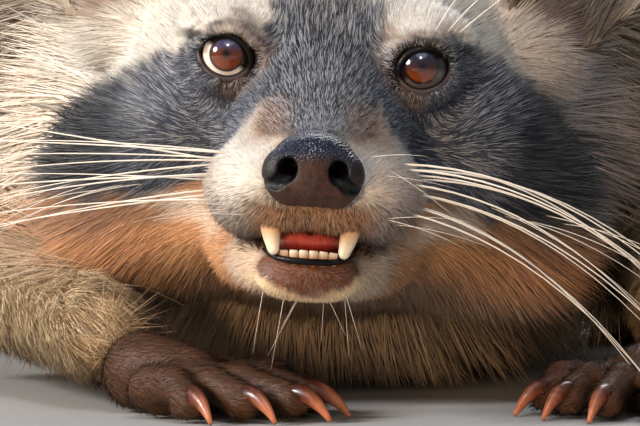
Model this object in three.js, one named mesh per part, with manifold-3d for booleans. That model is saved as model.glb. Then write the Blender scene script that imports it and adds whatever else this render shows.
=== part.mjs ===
// A common raccoon, life size, lying on its belly with its chin held low over its forepaws and its mouth
// a little open. Every solid is the outline of the coat. Millimetres, +Z up, the floor at Z = 0. The animal
// faces -Y, its left side is +X, and the origin is on the floor under its chest.
import * as THREE from "three";
import { mergeVertices } from "three/addons/utils/BufferGeometryUtils.js";
import Module from "manifold-3d";

const wasm = await Module();
wasm.setup();

// ---------------------------------------------------------------- driving dimensions
const degrees = THREE.MathUtils.degToRad;
const GAP = 0.35; // between two pieces that meet
const SLIVER = 0.03; // no triangle thinner than this is left by a cut
const NOSE_AT = new THREE.Vector3(-1, -250, 57); // tip of the nose pad's front face
const HEAD_ROLL = degrees(3.8); // its left eye is the lower one
const HEAD_YAW = degrees(-1);
const HEAD_LENGTH = 126; // nose tip to the plane where the neck starts
const EYE = { radius: 7.6, spread: 21.9, behind: 58, above: 23.4 };
const NOSE_PAD = { halfWidth: 10.8, halfHeight: 8.6, depth: 9.5 };
const NOSTRIL = { spread: 5.6, radii: [2, 4, 2.6] };
const MOUTH = { centre: [0, 30, -18], radii: [12.5, 27, 5.5] }; // the hollow under the palate
const INCISORS = { count: 6, pitch: 2.06, thickness: 2, height: 4.6, behind: 12.6, below: 19 };
const EAR = { height: 49, halfWidth: 22, thickness: 5, cup: 10, roundness: 3 };
const EAR_AT = { spread: 50, behind: 103, above: 44 };
const EAR_TURNS = { outwards: degrees(26), back: degrees(-6), facing: degrees(24) };
const FINGER_RADIUS = 4.2;
const CLAW = { length: 9.5, radius: 1.9 };

// ---------------------------------------------------------------- materials
const finish = (color, roughness) => new THREE.MeshStandardMaterial({ color, roughness, metalness: 0 });
const faceCoat = finish(0x6b6259, 0.9);
const bodyCoat = finish(0x75695c, 0.92);
const tailCoat = finish(0x5b5148, 0.92);
const legCoat = finish(0x4d453f, 0.9);
const pawCoat = finish(0x3a3431, 0.85);
const noseSkin = finish(0x17161a, 0.35);
const eyeAmber = finish(0x4a1f0c, 0.08);
const ivory = finish(0xe2d2b0, 0.3);
const tongueRed = finish(0x9c3236, 0.45);
const clawHorn = finish(0x8a4f2c, 0.35);

// ---------------------------------------------------------------- from geometry to solids
// A closed three.js geometry as a solid, turned the right way out.
function solid(geometry) {
  const bare = geometry.clone();
  bare.deleteAttribute("normal");
  bare.deleteAttribute("uv");
  const merged = mergeVertices(bare, 1e-4);
  const faces = (flip) => {
    const index = Array.from(merged.index.array);
    const kept = [];
    for (let i = 0; i < index.length; i += 3) {
      const [a, b, c] = index.slice(i, i + 3);
      if (a !== b && b !== c && c !== a) kept.push(...(flip ? [a, c, b] : [a, b, c]));
    }
    return new wasm.Mesh({
      numProp: 3,
      vertProperties: merged.attributes.position.array,
      triVerts: Uint32Array.from(kept),
    });
  };
  const made = new wasm.Manifold(faces(false));
  return made.volume() > 0 ? made : new wasm.Manifold(faces(true));
}

function geometryOf(made) {
  const mesh = made.getMesh();
  const geometry = new THREE.BufferGeometry();
  geometry.setAttribute("position", new THREE.BufferAttribute(mesh.vertProperties, 3));
  geometry.setIndex(new THREE.BufferAttribute(mesh.triVerts, 1));
  geometry.computeVertexNormals();
  return geometry;
}

// The largest body of a solid, so that a cut leaves no crumbs.
function mainBody(made) {
  return made.decompose().reduce((best, body) => (body.volume() > best.volume() ? body : best));
}

// A form is a solid with the room it needs: the same shape, fatter by the gap, which its neighbours are cut
// with.
const form = (shape) => ({ made: shape(0), room: shape(GAP) });
const clear = ({ made, room }, neighbours) => ({
  made: mainBody(neighbours.reduce((left, other) => left.subtract(other.room), made)),
  room,
});
const joined = (forms) => ({
  made: forms.map((f) => f.made).reduce((sum, part) => sum.add(part)),
  room: forms.map((f) => f.room).reduce((sum, part) => sum.add(part)),
});

const FLOOR = solid(new THREE.BoxGeometry(2000, 2000, 200).translate(0, 0, -100));

// Each finished piece stands on the floor or above it, without the slivers that the cuts leave.
const raccoon = new THREE.Group();
function piece(name, { made }, material) {
  const aboveFloor = mainBody(made.subtract(FLOOR));
  const mesh = new THREE.Mesh(geometryOf(aboveFloor.simplify(SLIVER)), material);
  mesh.name = name;
  raccoon.add(mesh);
}

// ---------------------------------------------------------------- lofts
// One named size of a row of stations as a smooth function of u, which goes from 0 to 1 along the row.
function sizeAlong(stations, key) {
  const curve = new THREE.SplineCurve(stations.map((s, i) => new THREE.Vector2(i, s[key])));
  return (u) => curve.getPoint(u).y;
}

// Rings of points joined into one closed surface, with a point at the middle of each end ring.
function skin(rings) {
  const sides = rings[0].length;
  const middle = (ring) => ring.reduce((sum, p) => sum.add(p), new THREE.Vector3()).divideScalar(sides);
  const points = [...rings.flat(), middle(rings[0]), middle(rings.at(-1))];
  const first = rings.length * sides;
  const index = [];
  for (let i = 0; i < sides; i++) {
    const j = (i + 1) % sides;
    for (let k = 0; k + 1 < rings.length; k++) {
      const [a, b, c, d] = [k * sides + i, k * sides + j, (k + 1) * sides + j, (k + 1) * sides + i];
      index.push(a, b, c, a, c, d);
    }
    index.push(first, j, i);
    index.push(first + 1, first - sides + i, first - sides + j);
  }
  return new THREE.BufferGeometry().setFromPoints(points).setIndex(index);
}

const signedPower = (value, power) => Math.sign(value) * Math.abs(value) ** power;

// A run of upright sections along Y. Each station gives y, top, mid (the widest level), bottom, half (the
// half width) and full, the superellipse's exponent: 2 is round, and more is squarer.
function sections(stations, { from = 0, to = 1, rings, sides, fat = 0 }) {
  const keys = ["y", "top", "mid", "bottom", "half", "full"];
  const size = Object.fromEntries(keys.map((key) => [key, sizeAlong(stations, key)]));
  return skin(
    Array.from({ length: rings }, (_, k) => {
      const u = from + ((to - from) * k) / (rings - 1);
      const beyond = k === 0 ? -fat : k === rings - 1 ? fat : 0;
      return Array.from({ length: sides }, (_, i) => {
        const angle = (2 * Math.PI * i) / sides;
        const power = 2 / size.full(u);
        const height = Math.sin(angle) > 0 ? size.top(u) - size.mid(u) : size.mid(u) - size.bottom(u);
        return new THREE.Vector3(
          (size.half(u) + fat) * signedPower(Math.cos(angle), power),
          size.y(u) + beyond,
          size.mid(u) + (height + fat) * signedPower(Math.sin(angle), power),
        );
      });
    }),
  );
}

// A limb along a smooth path. Each station gives x, y, z, side and up, the half sizes of its oval section.
// Each end is rounded over the given share of the length, or cut off flat where the share is 0.
const END_SHARE = 0.008; // a rounded end's last ring stops this share short of its point
function limb(stations, shape) {
  const { from = 0, to = 1, rings, sides, roundStart = 0.2, roundEnd = 0.2, fat = 0, inset = 0 } = shape;
  const path = new THREE.CatmullRomCurve3(
    stations.map((s) => new THREE.Vector3(s.x, s.y, s.z)),
    false,
    "catmullrom",
  );
  const side = sizeAlong(stations, "side");
  const up = sizeAlong(stations, "up");
  const dome = (share, round) => (share < round ? Math.sqrt(1 - (1 - share / round) ** 2) : 1);
  const upward = new THREE.Vector3(0, 0, 1);
  return skin(
    Array.from({ length: rings }, (_, k) => {
      const even = k / (rings - 1);
      const eased = roundStart || roundEnd ? (1 - Math.cos(Math.PI * even)) / 2 : even;
      const share = THREE.MathUtils.clamp(eased, roundStart ? END_SHARE : 0, roundEnd ? 1 - END_SHARE : 1);
      const u = from + (to - from) * share;
      const shrink = dome(share, roundStart) * dome(1 - share, roundEnd);
      const along = path.getTangent(u);
      const across = new THREE.Vector3().crossVectors(along, upward).normalize();
      const lift = new THREE.Vector3().crossVectors(across, along);
      const centre = path.getPoint(u);
      centre.addScaledVector(along, (fat - inset) * (2 * share - 1));
      return Array.from({ length: sides }, (_, i) => {
        const angle = (2 * Math.PI * i) / sides;
        return centre
          .clone()
          .addScaledVector(across, Math.cos(angle) * (side(u) + fat) * shrink)
          .addScaledVector(lift, Math.sin(angle) * (up(u) + fat) * shrink);
      });
    }),
  );
}

const SECTION_KEYS = ["y", "top", "mid", "bottom", "half", "full"];
const LIMB_KEYS = ["x", "y", "z", "side", "up"];
const stations = (keys, rows) => rows.map((row) => Object.fromEntries(keys.map((key, i) => [key, row[i]])));

function ellipsoid(centre, radii, fat = 0, across = 16, down = 12) {
  return new THREE.SphereGeometry(1, across, down).scale(...radii.map((r) => r + fat)).translate(...centre);
}

// ---------------------------------------------------------------- head
// The head's own frame has its origin at the nose tip, +Y towards the neck and +Z up.
const headPlace = new THREE.Matrix4()
  .makeTranslation(NOSE_AT)
  .multiply(new THREE.Matrix4().makeRotationZ(HEAD_YAW))
  .multiply(new THREE.Matrix4().makeRotationY(HEAD_ROLL));
const inHead = (geometry) => solid(geometry.applyMatrix4(headPlace));

const skullStations = stations(SECTION_KEYS, [
  [7, 7, -5, -13, 10, 2.1],
  [14, 11.5, -4, -16, 17.5, 2.1],
  [25, 15.5, -3, -17, 24, 2.1],
  [37, 20, -2, -18, 27, 2.1],
  [49, 27, 0, -20, 34, 2],
  [60, 38, 2, -24, 48, 1.9],
  [72, 49, 1, -31, 64, 1.9],
  [86, 57, -2, -37, 78, 1.85],
  [101, 61, -4, -40, 85, 1.85],
  [115, 63, -4, -41, 82, 1.95],
  [HEAD_LENGTH, 64, -3, -41, 74, 2],
]);
const jawStations = stations(SECTION_KEYS, [
  [9.5, -21, -24, -27, 6.5, 2.2],
  [13, -20, -24, -28.5, 12, 2.3],
  [22, -19, -24, -30, 16, 2.2],
  [36, -17, -24, -31.5, 19, 2.1],
  [50, -14, -23, -33, 22, 2],
  [62, -12, -22, -34, 22, 2],
]);

const mirror = [-1, 1];
const sideName = (side) => (side < 0 ? "right" : "left");
const eyeCentre = (side) => [side * EYE.spread, EYE.behind, EYE.above];

function nosePad() {
  const { halfWidth, halfHeight, depth } = NOSE_PAD;
  const pad = form((fat) => inHead(ellipsoid([0, depth, 0], [halfWidth, depth, halfHeight], fat, 14, 10)));
  const nostrilAt = (side) => [side * NOSTRIL.spread, 0.5, -0.6];
  const nostrils = mirror.map((side) => inHead(ellipsoid(nostrilAt(side), NOSTRIL.radii, 0, 6, 5)));
  return { made: nostrils.reduce((left, nostril) => left.subtract(nostril), pad.made), room: pad.room };
}

// An ear is a cupped leaf: each ring runs across the back of it and returns across the hollow front. The cup
// opens out and the wall thins towards the tip.
function ear(side) {
  const { height, halfWidth, thickness, cup, roundness } = EAR;
  const levels = 7;
  const across = 5;
  const rings = Array.from({ length: levels }, (_, k) => {
    const v = Math.sin((0.985 * (k / (levels - 1)) * Math.PI) / 2);
    const half = halfWidth * Math.sqrt(1 - v ** roundness);
    const wall = thickness * (1 - 0.5 * v);
    const hollow = cup * (1 - 0.4 * v);
    const sheet = (s, lift) =>
      new THREE.Vector3(half * s, -hollow * s * s - lift * Math.sqrt(1.02 - s * s), height * v);
    const spread = (i) => Math.sin((Math.PI / 2) * ((2 * i) / across - 1));
    const back = Array.from({ length: across + 1 }, (_, i) => sheet(spread(i), -wall / 2));
    const front = Array.from({ length: across + 1 }, (_, i) => sheet(-spread(i), wall / 2));
    return [...back, ...front];
  });
  const place = new THREE.Matrix4()
    .makeTranslation(side * EAR_AT.spread, EAR_AT.behind, EAR_AT.above)
    .multiply(new THREE.Matrix4().makeRotationY(side * EAR_TURNS.outwards))
    .multiply(new THREE.Matrix4().makeRotationX(EAR_TURNS.back))
    .multiply(new THREE.Matrix4().makeRotationZ(side * EAR_TURNS.facing));
  const made = inHead(skin(rings).applyMatrix4(place));
  return { made, room: made };
}

function canine(side) {
  const tooth = stations(LIMB_KEYS, [
    [side * 8.7, 13.5, -11, 2.2, 2.3],
    [side * 8.5, 12.3, -15, 2, 2],
    [side * 8.1, 12, -19.4, 1, 1],
  ]);
  return form((fat) => inHead(limb(tooth, { rings: 5, sides: 6, roundStart: 0, roundEnd: 0.3, fat })));
}

// The small lower front teeth stand in one bowed row, rooted in the jaw, each just touching the next.
function lowerIncisors() {
  const { count, pitch, thickness, height, behind, below } = INCISORS;
  const bow = 0.035;
  return Array.from({ length: count }, (_, i) => {
    const x = (i - (count - 1) / 2) * pitch;
    const tooth = new THREE.BoxGeometry(pitch + 0.02, thickness, height);
    const made = inHead(tooth.translate(x, behind + bow * x * x, -below));
    return { made, room: made };
  });
}

function makeHead() {
  const nose = nosePad();
  const eyeRadii = [EYE.radius, EYE.radius, EYE.radius];
  const eyes = mirror.map((side) => form((fat) => inHead(ellipsoid(eyeCentre(side), eyeRadii, fat, 12, 9))));
  const skull = clear(
    form((fat) => {
      const palate = inHead(ellipsoid(MOUTH.centre, MOUTH.radii, -fat, 12, 8));
      return inHead(sections(skullStations, { rings: 16, sides: 20, fat })).subtract(palate);
    }),
    [nose, ...eyes],
  );
  const fangs = mirror.map((side) => clear(canine(side), [skull]));
  const tongueStations = stations(LIMB_KEYS, [
    [0, 15, -17.2, 6.4, 2],
    [0, 26, -15.6, 8, 2.4],
    [0, 42, -15, 8.5, 2.4],
  ]);
  const tongueShape = { rings: 6, sides: 8, roundStart: 0.15, roundEnd: 0.15 };
  const tongue = clear(
    form((fat) => inHead(limb(tongueStations, { ...tongueShape, fat }))),
    [skull],
  );
  const chin = form((fat) => inHead(sections(jawStations, { rings: 6, sides: 12, fat })));
  const jaw = clear(joined([chin, ...lowerIncisors()]), [skull, ...fangs, tongue]);

  piece("head", skull, faceCoat);
  piece("nose_pad", nose, noseSkin);
  piece("lower_jaw", jaw, faceCoat);
  piece("tongue", tongue, tongueRed);
  mirror.forEach((side, i) => {
    piece(`eye_${sideName(side)}`, eyes[i], eyeAmber);
    piece(`canine_${sideName(side)}`, fangs[i], ivory);
    piece(`ear_${sideName(side)}`, clear(ear(side), [skull]), faceCoat);
  });
  return [skull, jaw];
}

// ---------------------------------------------------------------- neck and trunk
// One run of sections from the back of the head to the rump. The chest and belly spread on the floor.
const spineStations = stations(SECTION_KEYS, [
  [-140, 118, 54, 16, 72, 2],
  [-100, 134, 58, 9, 76, 2.05],
  [-60, 150, 62, 0, 86, 2.1],
  [-15, 164, 62, -3, 95, 2.2],
  [40, 178, 64, -3, 101, 2.25],
  [95, 189, 66, -3, 106, 2.25],
  [150, 182, 66, -3, 102, 2.2],
  [198, 155, 64, -1, 83, 2.1],
  [230, 120, 62, 12, 56, 2],
  [246, 88, 62, 34, 22, 2],
]);
const LAST_STATION = spineStations.length - 1;
function slice(first, last, rings) {
  const shape = { from: first / LAST_STATION, to: last / LAST_STATION, rings, sides: 22 };
  return form((fat) => solid(sections(spineStations, { ...shape, fat })));
}

function makeTrunk() {
  const depth = 200; // a block that holds the whole head and ends at its flat back
  const block = new THREE.BoxGeometry(400, depth, 400).translate(0, HEAD_LENGTH + GAP - depth / 2, 0);
  const headSide = { room: inHead(block) };
  const loin = slice(4, LAST_STATION, 11);
  const chest = clear(slice(2, 4, 7), [loin]);
  const neck = clear(slice(0, 2, 6), [headSide, chest]);
  piece("neck", neck, bodyCoat);
  piece("chest", chest, bodyCoat);
  piece("loin", loin, bodyCoat);
  return [neck, chest, loin];
}

// ---------------------------------------------------------------- tail
const tailStations = stations(LIMB_KEYS, [
  [0, 205, 74, 24, 24],
  [8, 250, 50, 29, 30],
  [38, 300, 36, 33, 35],
  [90, 338, 33.5, 35, 35],
  [150, 350, 32.5, 34, 34],
  [208, 332, 28, 28, 29.5],
]);
function makeTail(trunk) {
  const lengths = { tail_root: [0, 0.36], tail_middle: [0.36, 0.7], tail_end: [0.7, 1] };
  for (const [name, [from, to]] of Object.entries(lengths)) {
    const roundEnd = to === 1 ? 0.45 : 0;
    const shape = { from, to, rings: 7, sides: 14, inset: GAP / 2, roundStart: 0, roundEnd };
    const length = form((fat) => solid(limb(tailStations, { ...shape, fat })));
    piece(name, clear(length, name === "tail_root" ? [trunk.at(-1)] : []), tailCoat);
  }
}

// ---------------------------------------------------------------- paws
// A paw's own frame has its origin on the floor under the wrist or heel and points along -Y.
function paw({ sole, digits, place }) {
  const palmShape = { rings: 5, sides: 8, roundStart: 0.25, roundEnd: 0.25 };
  const palm = form((fat) => solid(limb(sole, { ...palmShape, fat }).applyMatrix4(place)));
  const r = FINGER_RADIUS;
  const onDigit = ({ x, y, turn }) =>
    place
      .clone()
      .multiply(new THREE.Matrix4().makeTranslation(x, y, 0))
      .multiply(new THREE.Matrix4().makeRotationZ(degrees(turn)));
  const fingers = digits.map((digit) => {
    const toe = stations(LIMB_KEYS, [
      [0, 6, 6.8, r, r],
      [0, -digit.length * 0.5, 8.2, r, r],
      [0, -digit.length, 5.3, r * 0.9, r * 0.86],
    ]);
    const shape = { rings: 4, sides: 6, roundStart: 0, roundEnd: 0.2 };
    return form((fat) => solid(limb(toe, { ...shape, fat }).applyMatrix4(onDigit(digit))));
  });
  const flesh = joined([palm, ...fingers]);
  const claws = digits.map((digit) => {
    const { length, radius } = CLAW;
    const horn = stations(LIMB_KEYS, [
      [0, -digit.length - GAP, 5.9, radius, radius * 1.1],
      [0, -digit.length - length * 0.42, 6.1, radius * 0.9, radius * 1.1],
      [0, -digit.length - length * 0.8, 3.9, radius * 0.55, radius * 0.7],
      [0, -digit.length - length, 1.3, radius * 0.25, radius * 0.25],
    ]);
    const shape = { rings: 4, sides: 5, roundStart: 0, roundEnd: 0 };
    return form((fat) => solid(limb(horn, { ...shape, fat }).applyMatrix4(onDigit(digit))));
  });
  return { flesh, claws };
}

// Digits side by side across the front of the palm, each turned a little more outwards and set a little
// further back than the one nearer the middle.
const DIGIT_SETBACK = 2.6;
const fan = (lengths, { pitch, spread, reach }) =>
  lengths.map((length, i) => {
    const off = i - (lengths.length - 1) / 2;
    return { x: off * pitch, y: -reach + Math.abs(off) * DIGIT_SETBACK, turn: off * spread, length };
  });
const handSole = stations(LIMB_KEYS, [
  [0, 8, 12.5, 12, 11],
  [0, -6, 10, 15, 9.6],
  [0, -18, 8.4, 18.5, 8],
  [0, -31, 7, 17, 6.6],
]);
const handDigits = fan([16, 22, 24, 22, 16], { pitch: 7.4, spread: 10, reach: 25 });
const footSole = stations(LIMB_KEYS, [
  [0, 8, 13, 13, 13],
  [0, -22, 11, 15, 11],
  [0, -46, 9, 18.5, 9],
  [0, -64, 8, 17, 7.5],
]);
const footDigits = fan([17, 21, 22, 21, 17], { pitch: 7.4, spread: 7, reach: 56 });
const SOLE_PRESS = 0.8; // how far a sole's round underside is pressed flat
const pawPlace = (x, y, heading) =>
  new THREE.Matrix4()
    .makeTranslation(x, y, -SOLE_PRESS)
    .multiply(new THREE.Matrix4().makeRotationZ(degrees(heading)));

// ---------------------------------------------------------------- legs
// The right forepaw is drawn in under the chin, and the left one is set further out. Each wrist and heel
// gives its x, y and the way its paw points in degrees.
const wrists = { right: [-42, -184, 50], left: [84, -172, -24] };
const elbows = { right: [-90, -58, 35], left: [95, -54, 35] };
const heels = { right: [-92, 156, -7], left: [92, 156, 7] };

function makeForeleg(side, body) {
  const name = sideName(side);
  const [wx, wy, heading] = wrists[name];
  const [ex, ey, ez] = elbows[name];
  const arm = stations(LIMB_KEYS, [
    [side * 50, -62, 112, 34, 42],
    [side * 70, -56, 78, 33, 40],
    [ex, ey + 2, ez + 6, 27, 32],
  ]);
  const forearm = stations(LIMB_KEYS, [
    [ex + side * 2, ey + 14, ez - 8, 26, 28],
    [ex * 0.7 + wx * 0.3, ey * 0.7 + wy * 0.3, 25, 25, 26.5],
    [ex * 0.3 + wx * 0.7, ey * 0.3 + wy * 0.7, 18, 19, 19],
    [wx, wy, 12.5, 14, 12],
  ]);
  const place = pawPlace(wx, wy, heading);
  const { flesh: hand, claws } = paw({ sole: handSole, digits: handDigits, place });
  const free = clear(hand, body);
  const lower = clear(
    form((fat) => solid(limb(forearm, { rings: 7, sides: 10, roundStart: 0.22, roundEnd: 0.15, fat }))),
    [...body, free],
  );
  const upper = clear(
    form((fat) => solid(limb(arm, { rings: 7, sides: 10, roundStart: 0.25, roundEnd: 0.3, fat }))),
    [...body, lower],
  );
  piece(`upper_arm_${name}`, upper, bodyCoat);
  piece(`forearm_${name}`, lower, legCoat);
  piece(`hand_${name}`, free, pawCoat);
  claws.forEach((claw, i) => piece(`claw_hand_${name}_${i + 1}`, claw, clawHorn));
}

function makeHindleg(side, trunk) {
  const name = sideName(side);
  const [hx, hy, heading] = heels[name];
  const haunch = stations(LIMB_KEYS, [
    [side * 56, 176, 86, 36, 54],
    [side * 80, 132, 82, 43, 62],
    [side * 98, 80, 58, 34, 44],
  ]);
  const shank = stations(LIMB_KEYS, [
    [side * 102, 74, 44, 25, 28],
    [side * 100, 112, 36, 24, 25],
    [hx, hy + 4, 22, 18, 20],
  ]);
  const place = pawPlace(hx, hy, heading);
  const { flesh: foot, claws } = paw({ sole: footSole, digits: footDigits, place });
  const free = clear(foot, trunk);
  const thigh = clear(
    form((fat) => solid(limb(haunch, { rings: 8, sides: 16, roundStart: 0.3, roundEnd: 0.3, fat }))),
    [...trunk, free],
  );
  const lower = clear(
    form((fat) => solid(limb(shank, { rings: 7, sides: 10, roundStart: 0.25, roundEnd: 0.2, fat }))),
    [...trunk, free, thigh],
  );
  piece(`thigh_${name}`, thigh, bodyCoat);
  piece(`shank_${name}`, lower, legCoat);
  piece(`foot_${name}`, free, pawCoat);
  claws.forEach((claw, i) => piece(`claw_foot_${name}_${i + 1}`, claw, clawHorn));
}

const head = makeHead();
const trunk = makeTrunk();
makeTail(trunk);
for (const side of mirror) {
  makeForeleg(side, [...head, ...trunk]);
  makeHindleg(side, trunk);
}

export default raccoon;
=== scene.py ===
"""A life-size common raccoon, lying low with its head over its forepaws.

Lengths are in millimetres until a mesh is made from them. The animal faces -Y, and its left side is +X.
"""

import math

import bpy
import numpy as np
import openvdb
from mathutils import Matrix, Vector
from mathutils.bvhtree import BVHTree


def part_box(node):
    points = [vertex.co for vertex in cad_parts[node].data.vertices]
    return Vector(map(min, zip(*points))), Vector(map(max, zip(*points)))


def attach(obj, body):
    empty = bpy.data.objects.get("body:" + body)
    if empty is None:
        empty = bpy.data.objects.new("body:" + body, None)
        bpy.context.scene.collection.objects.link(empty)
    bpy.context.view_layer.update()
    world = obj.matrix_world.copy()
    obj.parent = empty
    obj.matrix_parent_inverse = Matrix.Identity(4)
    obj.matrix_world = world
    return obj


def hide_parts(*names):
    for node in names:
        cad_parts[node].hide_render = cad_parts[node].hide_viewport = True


# ------------------------------------------------------------------ the frame and its landmarks
# The head has a frame of its own, which turns and tilts with it. Its origin is at the nose tip, x is across
# to the animal's left, a is back towards the neck and z is up. Every place on the face is given in it.

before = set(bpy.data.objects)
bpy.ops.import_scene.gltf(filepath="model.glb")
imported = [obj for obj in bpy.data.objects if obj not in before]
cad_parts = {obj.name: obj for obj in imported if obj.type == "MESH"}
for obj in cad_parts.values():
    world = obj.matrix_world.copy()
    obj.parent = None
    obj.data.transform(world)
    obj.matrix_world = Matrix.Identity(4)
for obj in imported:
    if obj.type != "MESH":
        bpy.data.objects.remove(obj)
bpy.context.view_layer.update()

MM = 0.001
SIDES = {"right": -1, "left": 1}
NOSE_DEPTH = 9.5  # from the nose tip to the middle of the nose pad
EYE_AT = np.array([21.9, 58.0, 23.4])  # the left eye's middle in the head's frame
EYE_RADIUS = 7.6


def node_points(name):
    """The corners of a frame node's mesh."""
    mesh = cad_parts[name].data
    corners = np.empty(3 * len(mesh.vertices))
    mesh.vertices.foreach_get("co", corners)
    return corners.reshape(-1, 3) / MM


def node_middle(name):
    low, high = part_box(name)
    return np.array((low + high) / 2) / MM


def unit(vectors):
    return vectors / np.maximum(np.linalg.norm(vectors, axis=-1, keepdims=True), 1e-9)


eye_right, eye_left, nose_middle = map(node_middle, ("eye_right", "eye_left", "nose_pad"))
head_across = unit(eye_left - eye_right)
towards_eyes = (eye_left + eye_right) / 2 - nose_middle
towards_eyes = unit(towards_eyes - head_across * (towards_eyes @ head_across))
square_to_it = np.cross(head_across, towards_eyes)
rise = math.atan2(EYE_AT[2], EYE_AT[1] - NOSE_DEPTH)
head_back = math.cos(rise) * towards_eyes - math.sin(rise) * square_to_it
head_up = math.sin(rise) * towards_eyes + math.cos(rise) * square_to_it
HEAD = np.stack([head_across, head_back, head_up])  # rows are the head's axes
NOSE_TIP = nose_middle - NOSE_DEPTH * head_back


def to_head(points):
    return (points - NOSE_TIP) @ HEAD.T


def from_head(points):
    return np.asarray(points, float) @ HEAD + NOSE_TIP


# ------------------------------------------------------------------ shapes as distance fields
# A body is blended from simple shapes on a grid that then becomes a mesh. Each shape is a signed distance in
# millimetres, understated by a share where it isn't exact.

UNDERSTATED = 0.85


def ramp(value, start, end):
    t = np.clip((value - start) / (end - start), 0, 1)
    return t * t * (3 - 2 * t)


def smooth_union(a, b, k):
    h = np.clip(0.5 + 0.5 * (b - a) / k, 0, 1)
    return b + (a - b) * h - k * h * (1 - h)


BOX = np.array([[i, j, k] for i in (-1, 1) for j in (-1, 1) for k in (-1, 1)])  # the corners of a cube


class Ball:
    """An ellipsoid with its axes along the frame that it is placed in."""

    def __init__(self, centre, radii):
        self.centre = np.asarray(centre, float)
        self.radii = np.broadcast_to(np.asarray(radii, float), 3)

    def corners(self):
        return self.centre + BOX * self.radii

    def distance(self, points):
        q = [(p - c) / r for p, c, r in zip(points, self.centre, self.radii)]
        near = np.sqrt(q[0] ** 2 + q[1] ** 2 + q[2] ** 2)
        slope = np.sqrt(sum((v / r) ** 2 for v, r in zip(q, self.radii)))
        return near * (near - 1) / np.maximum(slope, 1e-6)


class Bar:
    """A round bar from one point to another with a radius at each end."""

    def __init__(self, start, end, start_radius, end_radius):
        self.start, self.end = np.asarray(start, float), np.asarray(end, float)
        self.radii = start_radius, end_radius

    def corners(self):
        return np.concatenate([self.start + BOX * self.radii[0], self.end + BOX * self.radii[1]])

    def distance(self, points):
        run = self.end - self.start
        offset = [p - s for p, s in zip(points, self.start)]
        t = np.clip(sum(o * r for o, r in zip(offset, run)) / (run @ run), 0, 1)
        gap = np.sqrt(sum((o - t * r) ** 2 for o, r in zip(offset, run)))
        return gap - (self.radii[0] + (self.radii[1] - self.radii[0]) * t)


class Field:
    """Signed distances at the crossings of three rising lists of places, blended from shapes."""

    def __init__(self, *places):
        self.places = places
        self.values = np.full([len(p) for p in places], 50.0, np.float32)

    def window(self, corners, reach, in_head):
        """The part of the grid within reach of some corners, and its points in the shape's frame."""
        corners = from_head(corners) if in_head else corners
        low, high = corners.min(0) - reach, corners.max(0) + reach
        where = tuple(slice(*np.searchsorted(p, ends)) for p, ends in zip(self.places, zip(low, high)))
        near = [p[w] for p, w in zip(self.places, where)]
        x, y, z = np.meshgrid(*near, indexing="ij", sparse=True)
        if in_head:
            offset = (x - NOSE_TIP[0], y - NOSE_TIP[1], z - NOSE_TIP[2])
            return where, [sum(o * a for o, a in zip(offset, axis)) for axis in HEAD]
        return where, [x, y, z]

    def add(self, shape, k, in_head=False, sign=1):
        """Join a shape on, with k millimetres of rounding where it meets the rest."""
        where, points = self.window(shape.corners(), k + 6, in_head)
        if self.values[where].size:
            self.values[where] = sign * smooth_union(sign * self.values[where], shape.distance(points), k)

    def carve(self, shape, k, in_head=False):
        """Cut a shape away, with k millimetres of rounding at its edge."""
        self.add(shape, k, in_head, -1)

    def polygons(self):
        """Corner points and four-sided faces of the surface."""
        near = 12.0
        grid = openvdb.FloatGrid(near)
        grid.copyFromArray(np.clip(self.values, -near, near).astype(np.float32))
        steps, quads = grid.convertToQuads(0.0)
        points = [np.interp(steps[:, i], np.arange(len(p)), p) for i, p in enumerate(self.places)]
        return np.stack(points, 1), quads.astype(np.int64)


# ------------------------------------------------------------------ the body's shapes
# The flesh of the trunk, legs and tail follows the frame's solids less the depth of the coat. Each paw has
# measures of its own: a palm, and five fingers that end where their claws are rooted.

TORSO = ["neck", "chest", "loin", *[f"{part}_{side}" for part in ("upper_arm", "thigh") for side in SIDES]]
TAIL = ["tail_root", "tail_middle", "tail_end"]
TORSO_COAT, BELLY_COAT, TAIL_COAT, ARM_COAT, LEG_COAT = 11.0, 4.0, 11.0, 5.0, 6.0
TORSO_ROWS, TORSO_TURNS = 70, 96
OUTSIDE = 400.0  # further than any part of the trunk


def tree_of(names):
    """Frame nodes as one shape to send rays at, and which node each of its faces is of."""
    corners, faces, owners, count = [], [], [], 0
    for i, name in enumerate(names):
        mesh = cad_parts[name].data
        corners.append(node_points(name))
        faces += [[count + v for v in face.vertices] for face in mesh.polygons]
        owners += [i] * len(mesh.polygons)
        count += len(mesh.vertices)
    return BVHTree.FromPolygons(np.concatenate(corners).tolist(), faces), np.array(owners)


def around(count):
    """The angles of a full turn in equal steps."""
    return np.arange(count) * 2 * math.pi / count


def evened(table, rounds):
    """A table of values, each moved towards its neighbours both ways. The second way is a full turn."""
    for _ in range(rounds):
        ends = np.concatenate([table[:1], table, table[-1:]])
        table = (ends[:-2] + 2 * table + ends[2:]) / 4
        table = (np.roll(table, 1, 1) + 2 * table + np.roll(table, -1, 1)) / 4
    return table


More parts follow.
